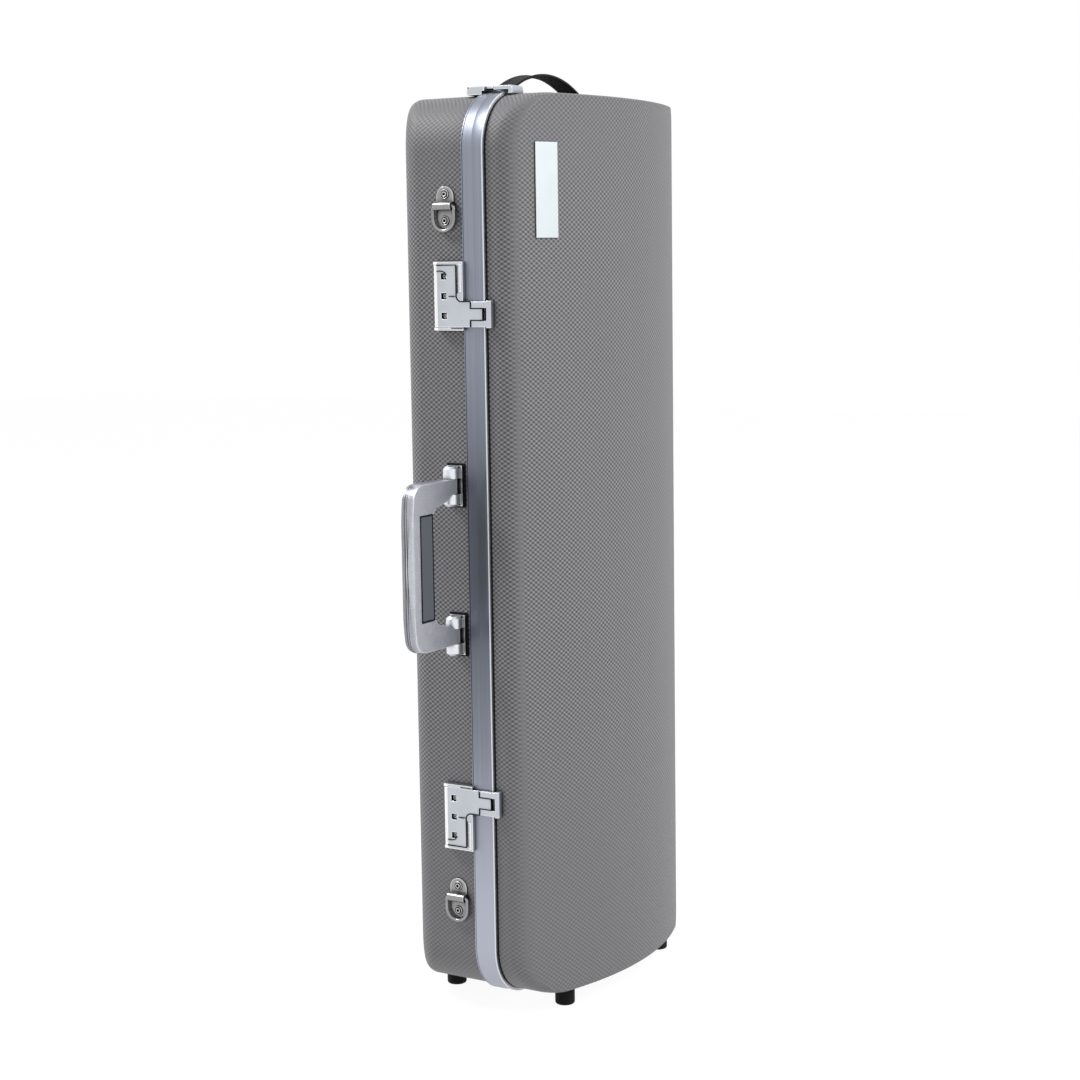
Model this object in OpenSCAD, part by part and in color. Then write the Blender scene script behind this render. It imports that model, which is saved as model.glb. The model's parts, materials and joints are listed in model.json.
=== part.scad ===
// Viola case: a hard oblong case with an aluminium closing frame.
// It stands on one end. X runs across its width, from the carrying handle
// on the near side to the hinges on the far side. Y runs through its
// thickness, from the lid to the back of the base. Z is up, along its length.

/* [Case] */
// Width over the closing frame
case_w = 282; // [260:1:310]
// Length over the closing frame
case_l = 798; // [780:1:840]
// Corner radius of the frame on the handle side
near_r = 50; // [44:1:56]
// Corner radius of the frame on the hinge side
far_r = 22; // [20:1:26]
// Depth of the base at its crown, from the back edge of the frame
base_depth = 99; // [96:1:108]
// Depth of the lid at its crown, from the back edge of the frame
lid_depth = 83.5; // [81:0.5:92]
// Radius of the arch across the base and the lid
arch_r = 308; // [300:2:400]
// Distance of the arch's crown from the case's mid width, towards the hinges
arch_x = 12; // [6:1:16]
// Rounding between the side walls and the arched faces
shoulder_r = 13; // [10:0.5:13.5]
// Rounding between the base's two ends and its arched face
base_end_r = 8; // [5:0.5:12]
// Rounding between the lid's two ends and its arched face
lid_end_r = 2.5; // [1:0.5:8]
// Thickness of the moulded shells
wall_t = 4; // [3:0.25:4.5]

/* [Closing frame] */
// Width of the aluminium band that shows
band_w = 21; // [18:0.5:23]
// How far the band stands out of the shells
band_p = 3; // [2:0.25:3.5]
// Thickness of the frame's hidden flanges
flange_t = 2; // [1.5:0.25:2.5]
// Thickness of the rubber seal in the lid
seal_t = 2; // [1.5:0.25:2.5]

/* [Feet] */
// Height of the rubber feet
foot_h = 17.5; // [14:0.5:21]
// Diameter of the rubber feet
foot_d = 18; // [16:0.5:20]

/* [Latches] */
// Length of the two side latches
latch_l = 58.4; // [54:0.2:64]
// Length of the latch on the top end
top_latch_l = 32; // [30:0.5:35]
// Depth of a side latch's housing behind the frame's back edge
latch_back = 27.3; // [26:0.1:30]
// Depth of the top latch's housing behind the frame's back edge
top_latch_back = 15.5; // [14.5:0.1:18]
// Height of a latch over the shell
latch_h = 7.2; // [6.8:0.1:8]
// Thickness of a latch lever
lever_t = 2.2; // [1.8:0.1:2.6]
// Width of a side latch's arm
arm_w = 21.8; // [20:0.2:24]
// Width of the top latch's arm
top_arm_w = 17; // [16:0.5:18]
// Distance of each side latch's middle from the middle of the fittings
latch_z = 228.5; // [215:0.5:250]
// Diameter of a latch's pin
latch_pin_d = 2; // [1.6:0.1:2.2]

/* [Handle] */
// Length of the handle along the case
handle_l = 144; // [135:1:155]
// How far the handle stands out of the shell
handle_out = 79; // [74:1:90]
// Thickness of the handle
handle_t = 12.5; // [12:0.5:16]
// Depth of the handle's rigid back
handle_back = 12.6; // [10:0.2:15]
// Depth of the soft grip insert
grip_depth = 21; // [18:0.2:24]
// Length of the soft grip insert
grip_l = 90.6; // [80:0.2:96]
// Distance of the handle's pins from the shell
handle_pin_out = 9.5; // [9.2:0.1:12]
// Diameter of the handle's pins
handle_pin_d = 4; // [3:0.2:5]

/* [Strap rings] */
// Width of a ring plate
ring_plate_w = 17.6; // [16:0.2:20]
// Length of a ring plate
ring_plate_l = 35.7; // [34:0.1:40]
// Diameter of the ring's wire
ring_wire_d = 3.2; // [2.6:0.1:3.4]
// Distance of each ring plate's outer end from the middle of the fittings
ring_z = 321.7; // [300:0.1:330]

/* [Hinges] */
// Length of a hinge
hinge_l = 60; // [50:1:70]
// Radius of a hinge's knuckles
knuckle_r = 3.3; // [3:0.1:3.6]
// Diameter of a hinge's pin
hinge_pin_d = 3; // [2:0.1:3.6]
// Distance of the outer hinges from the case's mid height
hinge_z = 290; // [250:5:320]

/* [Top strap] */
// Width of the webbing
strap_w = 18; // [15:1:20]
// Thickness of the webbing
strap_t = 2; // [1.5:0.25:3]
// Span of the webbing's arch
strap_span = 146; // [136:1:148]
// Rise of the webbing's arch over the shell
strap_rise = 24.3; // [20:0.1:30]

/* [Inside] */
// Length of the well for the viola's body
well_l = 412; // [400:1:420]
// Width of the well at the lower bout
well_w = 242; // [236:1:246]
// Depth of the well's floor behind the frame's back edge
well_floor = 50; // [46:0.5:51]
// Width of the channel for the neck
neck_w = 46; // [40:1:50]
// Thickness of the plush lining
lining_t = 2.5; // [2:0.25:3]

/* [Hidden] */

// Roundness of turned parts and of the shells' corners
round_fn = 48;
arch_fn = 360;
near_steps = 8;
far_steps = 5;
face_steps = 10;
shoulder_steps = 4;

// Clearances: between pieces of one body, between moving bodies, on running pins, and the cuts' overrun
rest_gap = 0.4;
move_gap = 0.3;
pin_fit = 0.05;
over = 1;

// The shells stand inside the frame's outline, and ends_x is the middle of the flat part of the ends
shell_x = case_w / 2 - band_p;
shell_z0 = foot_h;
shell_z1 = foot_h - 2 * band_p + case_l;
frame_z0 = shell_z0 - band_p;
mid_z = frame_z0 + case_l / 2;
ends_x = (near_r - far_r) / 2;

// The handle, the latches and the rings share one middle, a little below the case's own
fittings_drop = 3.3;
fittings_z = mid_z - fittings_drop;

// Depth of the frame: its channel holds the base shell's edge
channel_gap = 0.2;
web_t = 2.5;
shell_edge = -(band_w - web_t - channel_gap);
channel_in = wall_t + rest_gap;
flange_end = -8;
seal_y = -(band_w + move_gap);
lid_edge = seal_y - seal_t;
rim_gap = 0.8;
rim_in = channel_in + flange_t + rim_gap;
tongue_t = 2.4;
tongue_end = -15;
lid_flange_l = 5.7;

// Outline of the case in the XZ plane, drawn in by a distance: exact arcs at the corners
module outline(in_by) {
    w = case_w / 2 - in_by;
    h = case_l / 2 - in_by;
    rn = near_r - in_by;
    rf = far_r - in_by;
    nx = near_r - case_w / 2;
    fx = case_w / 2 - far_r;
    for (s = [-1, 1]) {
        translate([nx, s * (case_l / 2 - near_r)]) circle(r = rn, $fn = 2 * round_fn);
        translate([fx, s * (case_l / 2 - far_r)]) circle(r = rf, $fn = 2 * round_fn);
    }
    translate([nx, -h]) square([fx - nx, 2 * h]);
    translate([-w, near_r - case_l / 2]) square([w + fx, case_l - 2 * near_r]);
    translate([fx, far_r - case_l / 2]) square([w - fx, case_l - 2 * far_r]);
}

// A slab of the outline between two depths, and a ring between two outlines
module slab(in_by, y0, y1) {
    translate([0, max(y0, y1), mid_z]) rotate([90, 0, 0]) linear_extrude(abs(y1 - y0)) outline(in_by);
}
module ring(outer_in, inner_in, y0, y1) {
    difference() {
        slab(outer_in, y0, y1);
        slab(inner_in, min(y0, y1) - over, max(y0, y1) + over);
    }
}

// Shells: rings of points at shared places along X, closed by strips across the arched face
function sag(x) = arch_r - sqrt(arch_r * arch_r - (x - arch_x) * (x - arch_x));
function half_outline(in_by, end_in) = let (
    nx = near_r - case_w / 2, fx = case_w / 2 - far_r
) concat(
    [for (i = [0:near_steps]) let (a = 90 * i / near_steps)
        [nx - (near_r - in_by) * cos(a), case_l / 2 - near_r + (near_r - end_in) * sin(a)]],
    [for (i = [1:face_steps - 1]) [nx + (fx - nx) * i / face_steps, case_l / 2 - end_in]],
    [for (i = [far_steps:-1:0]) let (a = 90 * i / far_steps)
        [fx + (far_r - in_by) * cos(a), case_l / 2 - far_r + (far_r - end_in) * sin(a)]]
);
function edge_ring(in_by, edge) = let (h = half_outline(in_by, in_by), n = len(h)) concat(
    [for (i = [0:n - 1]) [h[i].x, edge, mid_z - h[i].y]],
    [for (i = [n - 1:-1:0]) [h[i].x, edge, mid_z + h[i].y]]
);
function shoulder_ring(in_by, crown, r, end_r, a) = let (
    h = half_outline(in_by + r * (1 - cos(a)), in_by + end_r * (1 - cos(a))),
    n = len(h), face = crown - r * (1 - sin(a))
) concat(
    [for (i = [0:n - 1]) [h[i].x, face - sag(h[i].x), mid_z - h[i].y]],
    [for (i = [n - 1:-1:0]) [h[i].x, face - sag(h[i].x), mid_z + h[i].y]]
);
function skin(in_by, edge, crown, r, end_r) = concat(
    edge_ring(in_by, edge),
    [for (k = [0:shoulder_steps]) each shoulder_ring(in_by, crown, r, end_r, 90 * k / shoulder_steps)]
);
function quad(a, b, c, d, flip) = flip ? [[a, c, b], [a, d, c]] : [[a, b, c], [a, c, d]];

// A shell that opens towards its edge; in_by is counted from the frame's outline, and the
// roundings shrink with it, down to a sharp corner
module shell(in_by, edge, crown, t, outer_end_r) {
    n = 2 * (near_steps + face_steps + far_steps + 1);
    rings = shoulder_steps + 2;
    half = n / 2;
    r = shoulder_r - (in_by - band_p);
    end_r = outer_end_r - (in_by - band_p);
    pts = concat(skin(in_by, edge, crown, r, max(end_r, 0)),
        skin(in_by + t, edge, crown - t, r - t, max(end_r - t, 0)));
    last = (rings - 1) * n;
    sheet = rings * n;
    faces = concat(
        [for (s = [0, 1]) for (k = [0:rings - 2]) for (i = [0:n - 1])
            let (j = (i + 1) % n, o = s * sheet + k * n)
                each quad(o + i, o + j, o + j + n, o + i + n, s == 1)],
        [for (s = [0, 1]) for (i = [0:half - 2]) let (o = s * sheet + last)
            each quad(o + i, o + i + 1, o + n - 2 - i, o + n - 1 - i, s == 1)],
        [for (i = [0:n - 1]) let (j = (i + 1) % n) each quad(i, sheet + i, sheet + j, j, false)]
    );
    polyhedron(points = pts, faces = faces, convexity = 6);
}

// Every node is drawn about the middle of the case and then moved to the part's origin,
// which is the middle of the bottom of its own box
knuckle_out = band_p + move_gap + knuckle_r;
hinge_out = knuckle_out + knuckle_r;
origin_x = (handle_out - hinge_out) / 2;
origin_y = (lid_depth - base_depth) / 2;
module placed() translate([origin_x, origin_y, 0]) children();

// Places on the walls: local X points outwards from the shell, local Y is the case's Y
module on_near(z) translate([-shell_x, 0, z]) mirror([1, 0, 0]) children();
module on_far(z) translate([shell_x, 0, z]) children();
module on_top(x) translate([x, 0, shell_z1]) rotate([0, -90, 0]) children();
// A box from its low corner to its high corner
module slot_box(lo, hi) translate(lo) cube(hi - lo);
// A rod along one of the axes
module rod_z(r, z0, z1) translate([0, 0, z0]) cylinder(r = r, h = z1 - z0, $fn = round_fn);
module rod_x(r, x0, x1) translate([x0, 0, 0]) rotate([0, 90, 0]) cylinder(r = r, h = x1 - x0, $fn = round_fn);
module rod_y(r, y0, y1) translate([0, y1, 0]) rotate([90, 0, 0]) cylinder(r = r, h = y1 - y0, $fn = round_fn);

// Latches stand beside the frame's near side, and one on the top end. Local Z runs along the
// latch, and the arm is at its low end.
window_w = 5.4;
window_back = 10.2;
top_window_back = 7;
window_margin = 3.2;
window_y = latch_back - window_back;
top_window_y = top_latch_back - top_window_back;
latch_lip = 2.4;
lip_gap = 0.2;
rim_t = 2.5;
rail_w = 3.9;
lever_under = 0.6;
lever_sunk = 0.2;
barrel_wall = 0.8;
barrel_end = 0.1;
floor_h = latch_h - lever_t - lever_under;
lever_h0 = latch_h - lever_sunk - lever_t;
pivot_h = lever_h0 + lever_t / 2;
barrel_r = lever_t / 2 + barrel_wall;
lever_in = rim_t + move_gap;
arm_end = -9.8;
tongue_tip = -22.2;
catch_y0 = -25.5;
catch_y1 = -29.4;
catch_over = 0.7;
catch_nose = 2;
ear_under = 0.5;
ear_w = 5.9;
corner_r = 5;
latch_pin_r = latch_pin_d / 2;
screw_r = 1.6;
screw_head_r = 2.4;
screw_head_h = 1.1;
screw_l = floor_h + wall_t;
socket_share = 0.42;
top_latch_off = 104;
top_latch_x = ends_x - top_latch_off;
top_window_off = rim_t + window_w;
// The sizes of each latch: 0 is the upper, 1 the lower, and 2 the one on the top end
function length_of(i) = i < 2 ? latch_l : top_latch_l;
function back_of(i) = i < 2 ? latch_back : top_latch_back;
function window_y_of(i) = i < 2 ? window_y : top_window_y;
function windows(i) = i < 2
    ? [-1, 0, 1] * ((latch_l - 4 * window_w - window_margin) / 2)
    : [-1, 1] * (top_latch_l / 2 - top_window_off);
function arm_z0(i) = lever_in - length_of(i) / 2;
function arm_z1(i) = arm_z0(i) + (i < 2 ? arm_w : top_arm_w);
function pivot_y(i) = back_of(i) - barrel_r - barrel_end;

module rounded_step(i, r) {
    // The corner between the lever's plate and its arm, a quarter round of a given radius
    y = rail_w + rest_gap - corner_r;
    z = arm_z1(i) + corner_r;
    translate([y, z]) circle(r = r, $fn = round_fn);
}

// The lever's outline in its own plane, Y across and Z along
module lever_outline(i) {
    y1 = rail_w + rest_gap;
    z0 = arm_z0(i);
    z1 = arm_z1(i);
    difference() {
        union() {
            translate([y1, z0]) square([pivot_y(i) - y1, length_of(i) - 2 * lever_in]);
            translate([arm_end, z0]) square([y1 - arm_end + over, z1 - z0]);
            translate([tongue_tip, z0 + ear_w]) square([arm_end - tongue_tip + over, z1 - z0 - 2 * ear_w]);
            translate([y1 - corner_r, z1 - over]) square([corner_r + over, corner_r + over]);
        }
        rounded_step(i, corner_r);
        translate([y1 - corner_r - over, z1]) square([over, 2 * corner_r]);
        translate([y1 - corner_r - over, z1 + corner_r]) square([corner_r + over, over]);
    }
}

module lever(i) {
    y = window_y_of(i);
    difference() {
        union() {
            translate([lever_h0, 0, 0]) rotate([90, 0, 90]) linear_extrude(lever_t) lever_outline(i);
            translate([pivot_h, pivot_y(i), 0]) rod_z(barrel_r, arm_z0(i), -arm_z0(i));
        }
        translate([pivot_h, pivot_y(i), 0]) rod_z(latch_pin_r + pin_fit, -latch_l, latch_l);
        for (z = windows(i))
            slot_box([0, y - window_w / 2, z - window_w / 2],
                [2 * latch_h, y + window_w / 2, z + window_w / 2]);
    }
}

module housing(i) {
    l = length_of(i);
    back = back_of(i);
    z1 = arm_z1(i) + rest_gap;
    room = barrel_r + rest_gap;
    difference() {
        union() {
            slot_box([0, channel_gap, -l / 2], [floor_h, back, l / 2]);
            slot_box([band_p + lip_gap, -latch_lip, -l / 2], [floor_h, channel_gap + over, l / 2]);
            for (s = [-1, 1])
                slot_box([floor_h - over, -latch_lip, s > 0 ? l / 2 - rim_t : -l / 2],
                    [latch_h, back, s > 0 ? l / 2 : rim_t - l / 2]);
            translate([band_p + lip_gap, 0, 0]) rotate([90, 0, 90])
                linear_extrude(latch_h - band_p - lip_gap) {
                    translate([-latch_lip, z1]) square([rail_w + latch_lip - corner_r, l / 2 - z1]);
                    translate([-latch_lip, z1 + corner_r - rest_gap])
                        square([rail_w + latch_lip, l / 2 - z1 - corner_r + rest_gap]);
                    intersection() {
                        rounded_step(i, corner_r - rest_gap);
                        translate([-latch_lip, z1]) square([rail_w + latch_lip, 2 * corner_r]);
                    }
                }
        }
        // Room under the barrel, the pin's holes, and the screw holes under the windows
        slot_box([pivot_h - room, pivot_y(i) - room, rim_t - l / 2],
            [latch_h + over, back + over, l / 2 - rim_t]);
        translate([pivot_h, pivot_y(i), 0]) rod_z(latch_pin_r + pin_fit, -l, l);
        for (z = windows(i)) translate([0, window_y_of(i), z]) rod_x(screw_r + pin_fit, -over, latch_h);
    }
}

module latch_pin(i) {
    half = length_of(i) / 2 - rim_t / 5;
    translate([pivot_h, pivot_y(i), 0]) rod_z(latch_pin_r, -half, half);
}

// A pan-headed screw along local X, its head's underside at X = 0
module screw(shank_r, shank_l, head_r, head_h) {
    rod_x(shank_r, -shank_l, over / 2);
    difference() {
        rod_x(head_r, 0, head_h);
        rod_x(head_r * socket_share, head_h / 2, head_h + over);
    }
}

module catch_plate(i) {
    z0 = arm_z0(i);
    z1 = arm_z1(i);
    ear_in = ear_w - move_gap;
    top = latch_h - lever_sunk;
    difference() {
        union() {
            slot_box([0, catch_y1, z0 - catch_over], [top, catch_y0, z1 + catch_over]);
            for (z = [z0, z1 - ear_in])
                slot_box([band_p + ear_under, catch_y0 - over / 2, z], [top, arm_end - move_gap, z + ear_in]);
        }
        // A rounded nose along the lid's side
        translate([top, catch_y1, (z0 + z1) / 2]) rotate([0, 0, 45])
            cube([catch_nose, catch_nose, 2 * arm_w], center = true);
    }
}

// Where each latch goes; the lower one is turned over
module latch_at(i) {
    if (i == 0) on_near(fittings_z + latch_z) children();
    if (i == 1) on_near(fittings_z - latch_z) mirror([0, 0, 1]) children();
    if (i == 2) on_top(top_latch_x) mirror([0, 0, 1]) children();
}
module latch_lever(i) color("silver") latch_at(i) lever(i);
module latch_housing(i) color("gainsboro") latch_at(i) housing(i);
module catch(i) color("silver") latch_at(i) catch_plate(i);
module latch_pins() color("gray") for (i = [0:2]) latch_at(i) latch_pin(i);
module latch_screws() {
    color("dimgray") for (i = [0:2]) latch_at(i) for (z = windows(i))
        translate([floor_h, window_y_of(i), z]) screw(screw_r, screw_l, screw_head_r, screw_head_h);
}

// Handle: two brackets beside the frame carry a C-shaped handle on vertical pins
handle_y = 12.1;
ear_r = 6.6;
ear_t = 10.4;
ear_taper = 2;
handle_barrel_r = 5.6;
barrel_l = 13.2;
bracket_w = 15.4;
bracket_t = 2.6;
pad_t = 0.8;
pad_edge = 1.6;
bracket_l = barrel_l + 2 * (ear_t + move_gap) + rest_gap;
pin_z = (handle_l - barrel_l) / 2;
handle_pin_r = handle_pin_d / 2;
handle_pin_fit = 0.08;
arm_root_n = 16;
arm_full_n = 30;
handle_round = 15;
handle_bow = 3.5;
handle_edge_r = 3.5;
grip_out = handle_out - handle_back;
grip_in = grip_out - grip_depth;

module handle_bracket(s) {
    ear_z = barrel_l / 2 + move_gap;
    ear_end = ear_z + ear_t;
    straight = ear_end - ear_taper;
    color("silver") on_near(fittings_z + s * pin_z) translate([0, handle_y, 0]) difference() {
        union() {
            slot_box([pad_t, -bracket_w / 2, -bracket_l / 2],
                [pad_t + bracket_t, bracket_w / 2, bracket_l / 2]);
            for (e = [-1, 1]) mirror([0, 0, e < 0 ? 1 : 0]) {
                translate([handle_pin_out, 0, 0]) {
                    rod_z(ear_r, ear_z, straight);
                    translate([0, 0, straight])
                        cylinder(r1 = ear_r, r2 = ear_r - ear_taper, h = ear_taper, $fn = round_fn);
                }
                slot_box([pad_t + bracket_t - over, -ear_r, ear_z], [handle_pin_out, ear_r, straight]);
                slot_box([pad_t + bracket_t - over, ear_taper - ear_r, ear_z],
                    [handle_pin_out, ear_r - ear_taper, ear_end]);
            }
        }
        translate([handle_pin_out, 0, 0]) rod_z(handle_pin_r + pin_fit, -bracket_l, bracket_l);
        rod_x(screw_r + pin_fit, -over, bracket_w);
    }
}
module bracket_pads() {
    w = bracket_w / 2 + pad_edge;
    l = bracket_l / 2 + pad_edge;
    color("black") for (s = [-1, 1])
        on_near(fittings_z + s * pin_z) translate([0, handle_y, 0]) difference() {
            slot_box([0, -w, -l], [pad_t, w, l]);
            rod_x(screw_r + pin_fit, -over, bracket_w);
        }
}
module bracket_screws() {
    color("dimgray") for (s = [-1, 1]) on_near(fittings_z + s * pin_z)
        translate([pad_t + bracket_t, handle_y, 0])
            rod_x(screw_r, -pad_t - bracket_t - wall_t, 0);
}
module handle_pins() {
    color("gray") for (s = [-1, 1]) on_near(fittings_z + s * pin_z) translate([handle_pin_out, handle_y, 0])
        rod_z(handle_pin_r, -bracket_l / 2 + over / 2, bracket_l / 2 - over / 2);
}

// The handle's side view: local X outwards, local Y along the case
function arc(cx, cy, r, a0, a1, n) =
    [for (i = [0:n]) let (a = a0 + (a1 - a0) * i / n) [cx + r * cos(a), cy + r * sin(a)]];
arm_reach_share = 0.46;
arm_low_share = 0.62;
knee_share = 0.38;
function handle_half() = let (
    top = handle_l / 2, low = top - barrel_l, grip = grip_l / 2,
    out = handle_out - handle_bow, drop = low - grip
) concat(
    [for (i = [1:5]) let (t = i / 6) [handle_out - handle_bow * t * t, (top - handle_round) * t]],
    arc(out - handle_round, top - handle_round, handle_round, 0, 90, 6),
    [[handle_pin_out, top], [handle_pin_out, low],
     [arm_root_n, low],
     [handle_pin_out + (grip_in - handle_pin_out) * arm_reach_share, grip + drop * arm_low_share],
     [grip_in - handle_edge_r, grip + drop * knee_share],
     [grip_in, grip + rest_gap / 2], [grip_out, grip + rest_gap / 2]]
);
function flipped(p) = [for (i = [len(p) - 1:-1:0]) [p[i].x, -p[i].y]];
module handle_side() {
    h = handle_half();
    polygon(concat([[handle_out, 0]], h, flipped(h)));
}
// The handle's section: it is thin at the pins and has rounded edges outside
module handle_section(n0, n1) {
    r = handle_edge_r;
    t = handle_t / 2;
    b = handle_barrel_r;
    polygon(concat([[n0, -b], [arm_root_n, -b], [arm_full_n, -t]],
        arc(n1 - r, -t + r, r, -90, 0, 6), arc(n1 - r, t - r, r, 0, 90, 6),
        [[arm_full_n, t], [arm_root_n, b], [n0, b]]));
}
module carry_handle() {
    color("silver") on_near(fittings_z) translate([0, handle_y, 0]) difference() {
        union() {
            intersection() {
                rotate([90, 0, 0]) translate([0, 0, -handle_t]) linear_extrude(2 * handle_t) handle_side();
                translate([0, 0, -handle_l]) linear_extrude(2 * handle_l)
                    handle_section(handle_pin_out, handle_out);
            }
            for (s = [-1, 1]) translate([handle_pin_out, 0, s * pin_z])
                rod_z(handle_barrel_r, -barrel_l / 2, barrel_l / 2);
        }
        for (s = [-1, 1]) translate([handle_pin_out, 0, s * pin_z])
            rod_z(handle_pin_r + handle_pin_fit, -barrel_l, barrel_l);
    }
}
module handle_grip() {
    r = handle_edge_r;
    t = handle_t / 2;
    color("slategray") on_near(fittings_z) translate([0, handle_y, -grip_l / 2]) linear_extrude(grip_l)
        polygon(concat([[grip_out - rest_gap / 2, -t]], [[grip_out - rest_gap / 2, t]],
            arc(grip_in + r, t - r, r, 90, 180, 6), arc(grip_in + r, -t + r, r, 180, 270, 6)));
}

// Strap rings: a plate with a raised barrel and a hanging ring. Local Z is down from the plate's top.
ring_y = 17.9;
plate_t = 1.4;
ring_wire_r = ring_wire_d / 2;
hump_in = ring_wire_r + move_gap;
hump_wall = 1.9;
hump_raise = 0.1;
hump_r = hump_in + hump_wall;
hump_out = hump_r + hump_raise;
hump_z = -17;
ring_bow_r = 10.65;
ring_drop = 10.2;
ring_screw_r = 1.7;
ring_head_r = 3.4;
ring_head_h = 1.9;
ring_screw_drop = 6.9;
ring_screw_rise = 6.4;
ring_screw_z = [-ring_screw_drop, ring_screw_rise - ring_plate_l];

module ring_plate(z) {
    r = ring_plate_w / 2;
    color("silver") on_near(z) translate([0, ring_y, 0]) difference() {
        union() {
            for (c = [-r, r - ring_plate_l]) translate([0, 0, c]) rod_x(r, 0, plate_t);
            slot_box([0, -r, r - ring_plate_l], [plate_t, r, -r]);
            translate([hump_out, 0, hump_z]) rotate([90, 0, 0]) rod_z(hump_r, -r, r);
            slot_box([0, -r, hump_z - hump_r], [hump_out, r, hump_z + hump_r]);
        }
        translate([hump_out, 0, hump_z]) rotate([90, 0, 0]) rod_z(hump_in, -2 * r, 2 * r);
        for (s = ring_screw_z) translate([0, 0, s]) rod_x(ring_screw_r + pin_fit, -over, ring_plate_l);
    }
}
module ring_screws() {
    color("silver") for (z = [ring_top(0), ring_top(1)]) on_near(z) for (s = ring_screw_z)
        translate([plate_t, ring_y, s]) screw(ring_screw_r, plate_t + wall_t, ring_head_r, ring_head_h);
}
function ring_top(i) = i == 0 ? fittings_z + ring_z : fittings_z - ring_z + ring_plate_l;
module strap_ring(z) {
    color("lightgray") on_near(z) translate([hump_out, ring_y, hump_z]) {
        rotate([90, 0, 0]) rod_z(ring_wire_r, -ring_bow_r, ring_bow_r);
        for (s = [-1, 1]) translate([0, s * ring_bow_r, 0]) {
            sphere(r = ring_wire_r, $fn = round_fn);
            rod_z(ring_wire_r, -ring_drop, 0);
        }
        translate([0, 0, -ring_drop]) rotate([0, 90, 0]) rotate([0, 0, -90])
            rotate_extrude(angle = 180, $fn = 2 * round_fn)
                translate([ring_bow_r, 0]) circle(r = ring_wire_r, $fn = round_fn);
    }
}

// Hinges: three on the far side, with their axis beside the seal
hinge_y = -(band_w + move_gap + seal_t / 2);
hinge_seg = 18;
hinge_leaf_t = 1.6;
hinge_pin_r = hinge_pin_d / 2;
base_leaf_y0 = hinge_y + knuckle_r + rest_gap;
base_leaf_y1 = -2;
base_rivet_y = (base_leaf_y0 + base_leaf_y1) / 2;
lid_leaf_y0 = hinge_y - knuckle_r - rest_gap;
lid_leaf_l = 12;
lid_rivet_y = lid_leaf_y0 - lid_leaf_l / 2 - over;
tab_t = 1.8;
rivet_r = 1.5;
rivet_head_r = 2.6;
rivet_head_h = 0.9;
hinge_places = [mid_z - hinge_z, mid_z, mid_z + hinge_z];
rivet_in = 9;
rivet_places = [-1, 1] * (hinge_l / 2 - rivet_in);

module knuckle(z0, z1) translate([knuckle_out, hinge_y, 0]) rod_z(knuckle_r, z0, z1);
module base_hinge_leaves() {
    color("silver") for (z = hinge_places) on_far(z) difference() {
        union() {
            slot_box([band_p, base_leaf_y0, -hinge_l / 2],
                [band_p + hinge_leaf_t, base_leaf_y1, hinge_l / 2]);
            for (s = [-1, 1]) mirror([0, 0, s < 0 ? 1 : 0]) {
                knuckle(hinge_l / 2 - hinge_seg, hinge_l / 2);
                slot_box([band_p, hinge_y, hinge_l / 2 - hinge_seg],
                    [band_p + hinge_leaf_t, base_leaf_y0 + over, hinge_l / 2]);
            }
        }
        translate([knuckle_out, hinge_y, 0]) rod_z(hinge_pin_r + pin_fit / 2, -hinge_l, hinge_l);
        for (r = rivet_places) translate([0, base_rivet_y, r]) rod_x(rivet_r + pin_fit, 0, hinge_l);
    }
}
module lid_hinge_leaves() {
    half = hinge_l / 2 - hinge_seg - move_gap;
    color("silver") for (z = hinge_places) on_far(z) difference() {
        union() {
            slot_box([0, lid_leaf_y0 - lid_leaf_l, -hinge_l / 2], [hinge_leaf_t, lid_leaf_y0, hinge_l / 2]);
            knuckle(-half, half);
            slot_box([0, lid_leaf_y0 - over / 2, -half], [knuckle_out, lid_leaf_y0 + tab_t, half]);
        }
        translate([knuckle_out, hinge_y, 0]) rod_z(hinge_pin_r + pin_fit, -hinge_l, hinge_l);
        for (r = rivet_places) translate([0, lid_rivet_y, r]) rod_x(rivet_r + pin_fit, -over, hinge_l);
    }
}
module hinge_pins() {
    color("gray") for (z = hinge_places) on_far(z) translate([knuckle_out, hinge_y, 0])
        rod_z(hinge_pin_r, -hinge_l / 2, hinge_l / 2);
}
module rivet(grip) {
    rod_x(rivet_r, -grip, over / 2);
    rod_x(rivet_head_r, 0, rivet_head_h);
}
module base_hinge_rivets() {
    color("gray") for (z = hinge_places) on_far(z) for (r = rivet_places)
        translate([band_p + hinge_leaf_t, base_rivet_y, r]) rivet(hinge_leaf_t + band_p);
}
module lid_hinge_rivets() {
    color("gray") for (z = hinge_places) on_far(z) for (r = rivet_places)
        translate([hinge_leaf_t, lid_rivet_y, r]) rivet(hinge_leaf_t + wall_t);
}

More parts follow.
